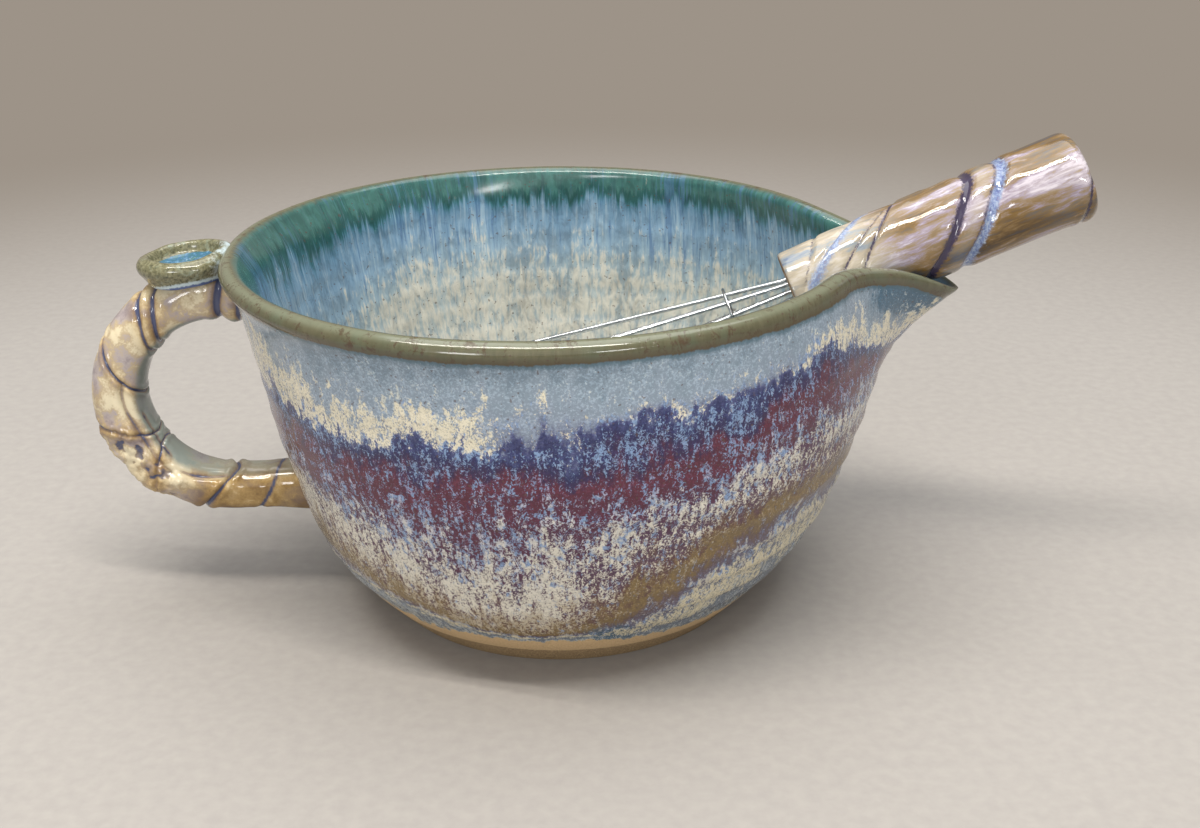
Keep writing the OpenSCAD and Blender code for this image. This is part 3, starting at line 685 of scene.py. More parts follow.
@dataclass(frozen=True)
class PooledGlaze(Finish):
    """Olive gloss glaze on the thumb rest, with a pale blue pool where it ran into the hollow."""

    title: str = "pooled_celadon_glaze"
    rough: float = 0.10

    def shade(self, tree: bpy.types.NodeTree) -> bpy.types.Node:
        """Adds the glaze's nodes to the tree.

        Args:
            tree: the material's node tree.

        Returns:
            The shader node.
        """
        spot = add_node(tree, "ShaderNodeTexCoord").outputs["Object"]
        pool, seam = (
            add_node(tree, "ShaderNodeAttribute", attribute_name=name).outputs["Fac"]
            for name in ("pool", "seam"))
        # Clouds of 3 mm, broken by grains of a millimetre: olive on the edge, blue in the pool
        cloud = add_node(
            tree, "ShaderNodeTexNoise",
            {
                "Vector": spot, "Scale": 300.0, "Detail": 5.0, "Roughness": 0.65,
                "Distortion": 0.4}).outputs["Fac"]
        grain = add_node(
            tree, "ShaderNodeTexNoise",
            {"Vector": spot, "Scale": 1000.0, "Detail": 3.0, "Roughness": 0.65}).outputs["Fac"]
        olive = add_node(
            tree, "ShaderNodeValToRGB", {"Fac": grain},
            stops=[(0.32, "#4a4938"), (0.47, "#6c6a50"), (0.6, "#807c60"), (0.75, "#94927a")]).outputs[0]
        pale = add_node(
            tree, "ShaderNodeMapRange", {"Value": cloud, "From Min": 0.50, "From Max": 0.72, "To Max": 0.6},
            interpolation_type="SMOOTHSTEP").outputs[0]
        olive = add_node(
            tree, "ShaderNodeMix", {0: pale, MIX_A: olive, MIX_B: "#8b9888"}, data_type="RGBA").outputs[MIX_OUT]
        sway = add_node(tree, "ShaderNodeMath", {0: cloud, 1: 0.5}, operation="SUBTRACT").outputs[0]
        sway = add_node(tree, "ShaderNodeMath", {0: sway, 1: 0.9, 2: pool}, operation="MULTIPLY_ADD").outputs[0]
        wash = add_node(
            tree, "ShaderNodeMath", {0: grain, 1: 0.6, 2: cloud}, operation="MULTIPLY_ADD").outputs[0]
        wash = add_node(
            tree, "ShaderNodeMapRange", {"Value": wash, "From Min": 0.5, "From Max": 1.1}).outputs[0]
        wash = add_node(
            tree, "ShaderNodeValToRGB", {"Fac": wash},
            stops=[(0.3, "#3d6a6c"), (0.55, "#3a6482"), (0.72, "#5d88a4"), (0.9, "#8fb0bd")]).outputs[0]
        wet = add_node(
            tree, "ShaderNodeMapRange", {"Value": sway, "From Min": 0.30, "From Max": 0.55},
            interpolation_type="SMOOTHSTEP").outputs[0]
        color = add_node(
            tree, "ShaderNodeMix", {0: wet, MIX_A: olive, MIX_B: wash}, data_type="RGBA").outputs[MIX_OUT]
        # Milky where it gathers along the seam, and dark blue in the middle of that
        milky = add_node(
            tree, "ShaderNodeMath", {0: grain, 1: 0.6, 2: seam}, operation="MULTIPLY_ADD").outputs[0]
        milk = add_node(
            tree, "ShaderNodeMapRange", {"Value": milky, "From Min": 0.45, "From Max": 0.8, "To Max": 0.9},
            interpolation_type="SMOOTHSTEP").outputs[0]
        color = add_node(
            tree, "ShaderNodeMix", {0: milk, MIX_A: color, MIX_B: "#bccdd3"}, data_type="RGBA").outputs[MIX_OUT]
        blue = add_node(
            tree, "ShaderNodeMapRange", {"Value": milky, "From Min": 1.0, "From Max": 1.2, "To Max": 0.9},
            interpolation_type="SMOOTHSTEP").outputs[0]
        color = add_node(
            tree, "ShaderNodeMix", {0: blue, MIX_A: color, MIX_B: "#3b4f86"}, data_type="RGBA").outputs[MIX_OUT]
        bump = add_node(
            tree, "ShaderNodeBump", {"Height": cloud, "Strength": 0.25, "Distance": 0.25 * MM}).outputs[0]
        return add_node(
            tree, "ShaderNodeBsdfPrincipled",
            {"Base Color": color, "Roughness": self.rough, "IOR": GLAZE_IOR, "Normal": bump})


@dataclass(frozen=True)
class WrappedGlaze(Finish):
    """Honey rutile glaze, run thick and very glossy over the whisk's rolled handle.

    The eye sees streaks along the handle, from cream at the wires to golden brown, a lavender
    bloom between them, and blue and plum where the glaze pooled in the rings.
    """

    title: str = "honey_rutile_glaze"

    def shade(self, tree: bpy.types.NodeTree) -> bpy.types.Node:
        """Adds the glaze's nodes to the tree.

        Args:
            tree: the material's node tree.

        Returns:
            The shader node.
        """
        spun = add_node(tree, "ShaderNodeAttribute", attribute_name="spun").outputs["Vector"]
        warmth, blue, plum, bare = (
            add_node(tree, "ShaderNodeAttribute", attribute_name=name).outputs["Fac"]
            for name in ("warm", "blue", "plum", "bare"))
        # Streaks 2 mm wide and clouds 13 mm wide, all five times as long, and grains of a millimetre
        long_at = add_node(
            tree, "ShaderNodeVectorMath", {0: spun, 1: (0.2, 1.0, 1.0)}, operation="MULTIPLY").outputs[0]
        streak = add_node(
            tree, "ShaderNodeTexNoise",
            {
                "Vector": long_at, "Scale": 480.0, "Detail": 5.0, "Roughness": 0.7,
                "Distortion": 0.5}).outputs["Fac"]
        cloud = add_node(
            tree, "ShaderNodeTexNoise",
            {
                "Vector": long_at, "Scale": 75.0, "Detail": 4.0, "Roughness": 0.6,
                "Distortion": 0.4}).outputs["Fac"]
        fine = add_node(
            tree, "ShaderNodeTexNoise",
            {"Vector": spun, "Scale": 1000.0, "Detail": 4.0, "Roughness": 0.7}).outputs["Fac"]
        tone = add_node(
            tree, "ShaderNodeMath", {0: cloud, 1: 1.5, 2: streak}, operation="MULTIPLY_ADD").outputs[0]
        tone = add_node(
            tree, "ShaderNodeMapRange", {"Value": tone, "From Min": 0.88, "From Max": 1.60}).outputs[0]
        honey = add_node(
            tree, "ShaderNodeValToRGB", {"Fac": tone},
            stops=[
                (0.1, "#44331c"), (0.33, "#664e2b"), (0.47, "#7c623a"), (0.58, "#8a7868"),
                (0.7, "#948897"), (0.9, "#c6bec4")]).outputs[0]
        cream = add_node(
            tree, "ShaderNodeValToRGB", {"Fac": tone},
            stops=[
                (0.1, "#66748a"), (0.32, "#8a9092"), (0.5, "#a79c8a"), (0.65, "#b9ae9a"),
                (0.9, "#cec7ba")]).outputs[0]
        ripe = add_node(tree, "ShaderNodeMath", {0: streak, 1: 0.5}, operation="SUBTRACT").outputs[0]
        ripe = add_node(
            tree, "ShaderNodeMath", {0: ripe, 1: 1.6, 2: warmth}, operation="MULTIPLY_ADD",
            use_clamp=True).outputs[0]
        color = add_node(
            tree, "ShaderNodeMix", {0: ripe, MIX_A: cream, MIX_B: honey}, data_type="RGBA").outputs[MIX_OUT]
        fray = add_node(tree, "ShaderNodeMath", {0: fine, 1: 0.5}, operation="SUBTRACT").outputs[0]
        blue_edge = add_node(
            tree, "ShaderNodeMath", {0: fray, 1: 1.6, 2: blue}, operation="MULTIPLY_ADD").outputs[0]
        blue_edge = add_node(
            tree, "ShaderNodeMapRange", {"Value": blue_edge, "From Min": 0.25, "From Max": 0.8, "To Max": 0.85},
            interpolation_type="SMOOTHSTEP").outputs[0]
        azure = add_node(
            tree, "ShaderNodeValToRGB", {"Fac": fine},
            stops=[(0.35, "#42558c"), (0.5, "#7388b0"), (0.65, "#a9b6c6")]).outputs[0]
        color = add_node(
            tree, "ShaderNodeMix", {0: blue_edge, MIX_A: color, MIX_B: azure},
            data_type="RGBA").outputs[MIX_OUT]
        plum_edge = add_node(
            tree, "ShaderNodeMath", {0: fray, 1: 1.3, 2: plum}, operation="MULTIPLY_ADD").outputs[0]
        plum_edge = add_node(
            tree, "ShaderNodeMapRange", {"Value": plum_edge, "From Min": 0.3, "From Max": 0.75, "To Max": 0.94},
            interpolation_type="SMOOTHSTEP").outputs[0]
        color = add_node(
            tree, "ShaderNodeMix", {0: plum_edge, MIX_A: color, MIX_B: "#352f48"},
            data_type="RGBA").outputs[MIX_OUT]
        color = add_node(
            tree, "ShaderNodeMix", {0: bare, MIX_A: color, MIX_B: "#87613a"}, data_type="RGBA").outputs[MIX_OUT]
        rough = add_node(tree, "ShaderNodeMapRange", {"Value": bare, "To Min": 0.04, "To Max": 0.75}).outputs[0]
        bump = add_node(
            tree, "ShaderNodeBump", {"Height": tone, "Strength": 0.06, "Distance": 0.3 * MM}).outputs[0]
        return add_node(
            tree, "ShaderNodeBsdfPrincipled",
            {"Base Color": color, "Roughness": rough, "IOR": GLAZE_IOR, "Normal": bump})


@dataclass(frozen=True)
class DrawnSteel(Finish):
    """Hard-drawn stainless wire: bright, with faint lines from the die along it."""

    title: str = "drawn_stainless_wire"

    def shade(self, tree: bpy.types.NodeTree) -> bpy.types.Node:
        """Adds the metal's nodes to the tree.

        Args:
            tree: the material's node tree.

        Returns:
            The shader node.
        """
        spot = add_node(tree, "ShaderNodeTexCoord").outputs["Object"]
        # Die lines are too fine to show, so they are drawn as a wear pattern 2 mm long
        wear = add_node(
            tree, "ShaderNodeTexNoise", {"Vector": spot, "Scale": 480.0, "Detail": 4.0}).outputs["Fac"]
        color = add_node(
            tree, "ShaderNodeValToRGB", {"Fac": wear}, stops=[(0.3, "#a3a8ac"), (0.6, "#c9cdd0")]).outputs[0]
        rough = add_node(tree, "ShaderNodeMapRange", {"Value": wear, "To Min": 0.16, "To Max": 0.34}).outputs[0]
        return add_node(
            tree, "ShaderNodeBsdfPrincipled", {"Base Color": color, "Metallic": 1.0, "Roughness": rough})


@dataclass(frozen=True)
class CastResin(Finish):
    """Clear-setting resin round the legs of the wires, yellowed a little, with a flat cast skin."""

    title: str = "cast_epoxy_resin"

    def shade(self, tree: bpy.types.NodeTree) -> bpy.types.Node:
        """Adds the resin's nodes to the tree.

        Args:
            tree: the material's node tree.

        Returns:
            The shader node.
        """
        spot = add_node(tree, "ShaderNodeTexCoord").outputs["Object"]
        # It has yellowed in clouds 3 mm across
        cloud = add_node(
            tree, "ShaderNodeTexNoise", {"Vector": spot, "Scale": 300.0, "Detail": 4.0}).outputs["Fac"]
        color = add_node(
            tree, "ShaderNodeValToRGB", {"Fac": cloud}, stops=[(0.35, "#a89a80"), (0.65, "#c4b89e")]).outputs[0]
        bump = add_node(
            tree, "ShaderNodeBump", {"Height": cloud, "Strength": 0.2, "Distance": 0.1 * MM}).outputs[0]
        return add_node(
            tree, "ShaderNodeBsdfPrincipled",
            {"Base Color": color, "Roughness": 0.4, "IOR": 1.55, "Normal": bump})


@dataclass(frozen=True)
class MattPaper(Finish):
    """The pale seamless paper that the bowl stands on."""

    title: str = "seamless_paper"

    def shade(self, tree: bpy.types.NodeTree) -> bpy.types.Node:
        """Adds the paper's nodes to the tree.

        Args:
            tree: the material's node tree.

        Returns:
            The shader node.
        """
        spot = add_node(tree, "ShaderNodeTexCoord").outputs["Object"]
        # Paper's tooth is too fine to show, so it is drawn as clouds 4 mm across
        tooth = add_node(
            tree, "ShaderNodeTexNoise", {"Vector": spot, "Scale": 240.0, "Detail": 6.0}).outputs["Fac"]
        color = add_node(
            tree, "ShaderNodeValToRGB", {"Fac": tooth}, stops=[(0.3, "#9a9590"), (0.7, "#a19c96")]).outputs[0]
        bump = add_node(
            tree, "ShaderNodeBump", {"Height": tooth, "Strength": 0.1, "Distance": 0.2 * MM}).outputs[0]
        near = add_node(
            tree, "ShaderNodeBsdfPrincipled",
            {"Base Color": color, "Roughness": 0.9, "Normal": bump}).outputs[0]
        # Far from the bowl it fades to the backdrop, so no horizon shows
        away = add_node(tree, "ShaderNodeVectorMath", {0: spot}, operation="LENGTH").outputs["Value"]
        away = add_node(
            tree, "ShaderNodeMapRange", {"Value": away, "From Min": 0.30, "From Max": 0.75},
            interpolation_type="SMOOTHSTEP").outputs[0]
        fade = add_node(
            tree, "ShaderNodeMath", {0: away, 1: background_ray(tree)}, operation="MULTIPLY").outputs[0]
        far = add_node(tree, "ShaderNodeEmission", {"Color": BACKDROP}).outputs[0]
        return add_node(tree, "ShaderNodeMixShader", {0: fade, 1: near, 2: far})


def settled(name: str, bm: bmesh.types.BMesh, finish: Finish, levels: int) -> bpy.types.Object:
    """Turns a bmesh into a finished object with its subdivision applied.

    Args:
        name: the new object's name.
        bm: the bmesh, which is freed.
        finish: what the surface is made of.
        levels: how many times the mesh is subdivided.

    Returns:
        The object, at the origin, smooth shaded.
    """
    mesh = bpy.data.meshes.new(name)
    bm.to_mesh(mesh)
    bm.free()
    rough = bpy.data.objects.new(name + "_cage", mesh)
    bpy.context.scene.collection.objects.link(rough)
    if levels:
        subdivision = rough.modifiers.new("smooth", "SUBSURF")
        subdivision.levels = subdivision.render_levels = levels
    graph = bpy.context.evaluated_depsgraph_get()
    fine = bpy.data.meshes.new_from_object(rough.evaluated_get(graph))
    bpy.data.objects.remove(rough)
    fine.name = name
    fine.materials.clear()
    fine.materials.append(finish.material)
    fine.shade_smooth()
    made = bpy.data.objects.new(name, fine)
    bpy.context.scene.collection.objects.link(made)
    return made


def points_of(mesh: bpy.types.Mesh) -> np.ndarray:
    """Reads the mesh's points.

    Args:
        mesh: the mesh.

    Returns:
        The points in millimetres, one row each.
    """
    flat = np.zeros(len(mesh.vertices) * 3, np.float32)
    mesh.vertices.foreach_get("co", flat)
    return flat.reshape(-1, 3).astype(float) / MM


def normals_of(mesh: bpy.types.Mesh) -> np.ndarray:
    """Reads the directions that the mesh's points face.

    Args:
        mesh: the mesh.

    Returns:
        The normals, one row each.
    """
    flat = np.zeros(len(mesh.vertices) * 3, np.float32)
    mesh.vertex_normals.foreach_get("vector", flat)
    return flat.reshape(-1, 3).astype(float)


def move_points(mesh: bpy.types.Mesh, points: np.ndarray) -> None:
    """Puts the mesh's points at these places in millimetres."""
    mesh.vertices.foreach_set("co", (points * MM).astype(np.float32).ravel())
    mesh.update()


def paint(mesh: bpy.types.Mesh, name: str, values: np.ndarray) -> None:
    """Stores one number or one vector for each point of the mesh.

    Args:
        mesh: the mesh that carries it.
        name: the attribute that the finish reads.
        values: one row for each point.
    """
    kind, key = ("FLOAT_VECTOR", "vector") if values.ndim == 2 else ("FLOAT", "value")
    attribute = mesh.attributes.get(name) or mesh.attributes.new(name, kind, "POINT")
    attribute.data.foreach_set(key, values.astype(np.float32).ravel())


def merged_copy(node: str) -> bmesh.types.BMesh:
    """Copies a CAD node and joins its loose triangles into one skin.

    Args:
        node: the CAD node's name.

    Returns:
        The bmesh, in metres.
    """
    bm = bmesh.new()
    bm.from_mesh(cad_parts[node].data)
    bmesh.ops.remove_doubles(bm, verts=bm.verts, dist=CAD_WELD * MM)
    return bm


def square_up(bm: bmesh.types.BMesh, keep: Callable[[bmesh.types.BMVert], bool]) -> None:
    """Takes out the diagonals of a grid of triangles: each is the longest side of both its faces.

    Args:
        bm: the bmesh of triangles.
        keep: true for a point whose sides all stay, such as a pole.
    """
    longest = {face: max(face.edges, key=lambda e: e.calc_length()) for face in bm.faces}
    loose = [
        e for e in bm.edges
        if len(e.link_faces) == 2
        and all(longest[f] is e for f in e.link_faces)
        and not any(keep(v) for v in e.verts)
    ]
    bmesh.ops.dissolve_edges(bm, edges=loose, use_verts=False, use_face_split=False)


def drawn(points: list[tuple[float, float]]) -> bmesh.types.BMesh:
    """Draws an open line through these points.

    Args:
        points: X and Z of each point, in millimetres.

    Returns:
        The bmesh, in metres.
    """
    bm = bmesh.new()
    verts = [bm.verts.new((x * MM, 0, z * MM)) for x, z in points]
    for pair in zip(verts, verts[1:]):
        bm.edges.new(pair)
    return bm


def spin_round(bm: bmesh.types.BMesh, axis: tuple[float, float, float], steps: int) -> None:
    """Spins what the bmesh holds a full turn about the origin and closes its seam and poles.

    Args:
        bm: the bmesh with the line or the ring to spin.
        axis: the direction of the axis.
        steps: how many steps make the turn.
    """
    bmesh.ops.spin(
        bm, geom=bm.verts[:] + bm.edges[:], cent=(0, 0, 0), axis=axis, dvec=(0, 0, 0),
        angle=math.tau, steps=steps, use_merge=True, use_duplicate=False)
    bmesh.ops.remove_doubles(bm, verts=bm.verts, dist=SPUN_WELD * MM)
    bmesh.ops.recalc_face_normals(bm, faces=bm.faces)


@dataclass
class Bowl:
    """The thrown body with its lip, spout and trimmed foot."""

    glaze: BowlGlaze
    # Mean radius that the patterns are wrapped round, and how high the foot is trimmed, in mm
    wrap_r: float = 90.0
    trim_h: float = 6.4
    # The CAD's rings of points, counted from the middle of the floor up the inside, over the lip
    # and down the outside to the middle of the foot: how many there are, the ends of the floor's
    # middle and of the floor, the crest of the lip, where the outside's layers begin, the foot of
    # the wall and the foot's flat face, then where each zone starts, is full, fades and ends
    rings: int = 54
    centre_row: float = 5.0
    floor_row: float = 8.0
    crest_row: float = 28.2
    outer_row: float = 30.0
    low_row: float = 45.0
    foot_row: float = 51.0
    inner_rows: tuple = (4.0, 8.0, 21.0, 23.5)
    lip_rows: tuple = (22.5, 25.0, 32.0, 34.0)
    wall_rows: tuple = (34.0, 36.0, 48.0, 50.5)
    # The height where the inside's layers begin, and the radius of those on the floor, in mm
    inner_top: float = 112.0
    floor_reach: float = 62.0
    # Azimuth from the spout, in degrees, and the height of each layer's edge there, in mm
    stations: tuple = (0, 10, 25, 41, 52, 60, 68, 76, 84, 91, 100, 110, 116, 124, 137, 150, 165, 180)
    edges: tuple = (
        (95, 95, 103, 107, 103, 100, 99.5, 100.5, 96, 99, 98, 100, 97, 96, 99, 104, 102, 101),
        (86, 86.3, 93.8, 101, 97.8, 96.8, 96, 97.5, 92.7, 88.5, 86.5, 88, 85, 82.6, 83.5, 85, 86, 86),
        (84, 84.5, 90.5, 96.5, 92, 87, 84.5, 80, 78, 78, 80.5, 79.6, 78.5, 77.8, 78.3, 79.5, 80, 80),
        (77, 79, 81.7, 82, 78, 74.8, 71, 70, 70, 69, 66, 62, 62, 62.7, 64, 62, 60, 60),
        (68, 69, 71, 73, 69.5, 66, 60, 54, 46.6, 39, 35, 36, 39, 43, 51, 57, 56, 56),
        (55, 56, 57, 57.5, 56.4, 52, 44, 32, 22.5, 19, 18, 19.5, 22.5, 27, 33, 38, 37, 36),
        (46, 47, 49, 51.5, 47.5, 38.5, 28.5, 20.5, 17.6, 16.8, 16, 17.4, 20, 22.5, 26, 29, 28, 27),
        (30, 31, 34, 33.6, 26, 20, 16, 14.6, 16, 16, 15, 16.4, 19.5, 22, 25.5, 28.5, 27.5, 26.5),
        (12, 12, 12.6, 11.5, 11.6, 13.4, 12.4, 12.8, 14.6, 14.6, 13.6, 15.0, 14, 13.4, 15, 13, 12, 12.5),
    )

    def build(self) -> bpy.types.Object:
        """Builds the body from the CAD node, smooths it and gives it its throwing rings and glaze.

        Returns:
            The dressed body.
        """
        bm = merged_copy("bowl_body")
        rows = bm.verts.layers.float.new("row")
        crease = bm.edges.layers.float.new("crease_edge")
        poles = {v for v in bm.verts if len(v.link_edges) > 20}
        self.count_rows(poles, rows)
        square_up(bm, lambda v: v in poles)
        for edge in bm.edges:
            a, b = (v[rows] for v in edge.verts)
            if a == b and a >= self.foot_row:
                edge[crease] = 1.0
        made = settled("glazed_body", bm, self.glaze, 2)
        row = np.zeros(len(made.data.vertices), np.float32)
        made.data.attributes["row"].data.foreach_get("value", row)
        self.finish(made.data, row.astype(float))
        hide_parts("bowl_body")
        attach(made, Body.BOWL.value)
        return made

    def count_rows(self, poles: set[bmesh.types.BMVert], rows: bmesh.types.BMLayerItem) -> None:
        """Numbers each ring of points by its steps from the middle of the floor.

        Args:
            poles: the middle of the floor and of the foot.
            rows: the layer that takes the number.
        """
        start = max(poles, key=lambda v: v.co.z)
        seen, ring, step = {start}, [start], 0
        while ring:
            for vert in ring:
                vert[rows] = step
            ahead = []
            for vert in ring:
                for link in vert.link_edges:
                    other = link.other_vert(vert)
                    if other not in seen:
                        seen.add(other)
                        ahead.append(other)
            ring, step = ahead, step + 1

    def finish(self, mesh: bpy.types.Mesh, row: np.ndarray) -> None:
        """Presses the throwing rings in and stores what the glaze follows.

        Args:
            mesh: the smooth body.
            row: each point's ring, counted from the middle of the floor.
        """
        p = points_of(mesh)
        around = np.arctan2(p[:, 1], p[:, 0])
        course, from_lip = self.measure(p, around, row)

        # Throwing rings 9.5 and 5.1 mm apart, deepest low on the spout's side, and a slight sag
        wall, inner = band(row, *self.wall_rows), band(row, *self.inner_rows)
        low = 1 - smoothstep(p[:, 2], 40, 95)
        toward = smoothstep(np.cos(around), -0.2, 0.9)
        rings = np.sin(course / 9.5 * math.tau + around + 0.8 * np.sin(around * 2))
        rings += 0.5 * np.sin(course / 5.1 * math.tau + around * 2)
        sag = roughen(p * MM, 45 * MM, 2)
        push = wall * rings * (0.10 + 0.26 * low * toward) + inner * rings * 0.10
        push = push + sag * 0.22 * (wall + inner)
        push += band(row, *self.lip_rows) * roughen(p * MM, 30 * MM, 2) * 0.12
        p = p + normals_of(mesh) * push[:, None]
        move_points(mesh, p)

        height, azimuth = p[:, 2], np.abs(np.degrees(around))
        layer = self.layer_of(height, around, row)
        paint(mesh, "layer_out", np.where(row < self.outer_row, 0.0, np.clip(layer, 0.0, 11.0)))

        # The cream is thick by the handle and under the spout, and gone between them. Flecks lie thick
        # down to the foot on the handle's side, and the golden bands under the spout have few.
        middle = band(azimuth, 34, 50, 96, 108)
        rear = smoothstep(azimuth, 72, 98)
        fringe = 1 - smoothstep(layer, 1.9, 2.3)
        crown = smoothstep(layer, 0.6, 1.2)
        extra = -0.42 * middle * fringe * crown + 0.05 * rear * (1 - fringe)
        extra = extra + band(layer, 4.6, 5.4, 8.3, 8.7) * (0.15 * rear - 0.08 * (1 - rear))
        extra -= 0.5 * rear * smoothstep(layer, 6.8, 7.2) * (1 - smoothstep(layer, 8.0, 8.4))
        extra += 0.10 * wall * rings * low * toward
        paint(mesh, "extra", extra)
        puddle = 0.9 * ridge(azimuth - 80, 7) * (1 - smoothstep(height, 17, 25)) * (p[:, 1] < 0)
        beak = (1 - smoothstep(azimuth, 12, 26)) * (1 - smoothstep(from_lip, 12, 24))
        paint(mesh, "beak", np.maximum(beak, puddle))

        # Inside, the blue runs furthest down by the handle, and rings 9 mm apart cross the floor
        reach, on_floor = np.hypot(p[:, 0], p[:, 1]), row < self.floor_row
        left = smoothstep(-np.cos(around), 0.6, 1.0)
        bottom = 81.0 - 22.0 * left
        depth = 0.33 * (self.inner_top - height) / (self.inner_top - bottom)
        floor = np.clip((self.floor_reach - reach) / self.floor_reach, 0, 1) * 0.25
        paint(mesh, "layer_in", np.clip(depth + floor * on_floor, 0.0, 1.0))
        paint(mesh, "ring", inner * rings + on_floor * np.sin(reach / 9.0 * math.tau))
        paint(mesh, "from_lip", from_lip)

        # The patterns are wrapped round a cylinder, and lie flat in the middle of the floor
        wrap = np.stack([np.cos(around) * self.wrap_r, np.sin(around) * self.wrap_r, course], axis=1) * MM
        centre = row < self.centre_row
        wrap[centre] = p[centre] * np.array([1.45, 1.45, 1.0]) * MM
        paint(mesh, "turned", wrap)

    def measure(self, p: np.ndarray, around: np.ndarray, row: np.ndarray) -> tuple[np.ndarray, np.ndarray]:
        """Measures the way over the body's profile, along a slice on its near round side.

        Args:
            p: the points in millimetres.
            around: each point's angle from the spout, in radians.
            row: each point's ring, counted from the middle of the floor.

        Returns:
            Each point's way in mm from the middle of the floor, and from the crest of the lip.
        """
        in_slice = np.abs(np.degrees(around) - 100) < 8
        steps, profile = np.arange(self.rings), []
        for step in steps:
            found = np.abs(row - step) < 0.3
            # The slice has no point of the two poles
            if 0 < step < self.rings - 1:
                found &= in_slice
            profile.append([np.hypot(p[found, 0], p[found, 1]).mean(), p[found, 2].mean()])
        run = np.concatenate([[0], np.cumsum(np.hypot(*np.diff(np.array(profile), axis=0).T))])
        course = np.interp(row, steps, run)
        return course, course - np.interp(self.crest_row, steps, run)

    def layer_of(self, height: np.ndarray, around: np.ndarray, row: np.ndarray) -> np.ndarray:
        """Finds the layer of glaze that each point of the outside lies in.

        Args:
            height: each point's height in mm.
            around: its angle from the spout, in radians.
            row: its ring, counted from the middle of the floor.

        Returns:
            The layer's number: under 1 above the first edge, 9 where the glaze ends and 11 on
            trimmed clay.
        """
        azimuth = np.abs(np.degrees(around))
        lay = np.array([np.interp(azimuth, self.stations, edge) for edge in self.edges])
        # The layers on the far side, which the photo doesn't show, run a little higher or lower
        lay[:8] += np.where(around > 0, 3.0 * np.sin(around * 3 + 0.6), 0.0) * np.sin(around) ** 2
        # The glaze ends in scallops about 15 mm long
        rim = np.stack([np.cos(around), np.sin(around), 0 * around], axis=1) * self.wrap_r * MM
        lay[8] += 1.5 * roughen(rim, 16 * MM, 2)
        # Layer 1 begins at the first edge, and each following edge starts the next layer
        layer = np.where(height > lay[0], 1 - (height - lay[0]) / 14.0, 0.0)
        for i in range(len(lay) - 1):
            hit = (height <= lay[i]) & (height > lay[i + 1])
            layer = np.where(hit, i + 1 + (lay[i] - height) / np.maximum(lay[i] - lay[i + 1], 0.5), layer)
        layer = np.where(height <= lay[-1], np.minimum(9 + (lay[-1] - height) / 4.0, 9.9), layer)
        trimmed = (row > self.foot_row + 0.05) | (height < self.trim_h) & (row > self.low_row)
        return np.where(trimmed, 11.0, layer)


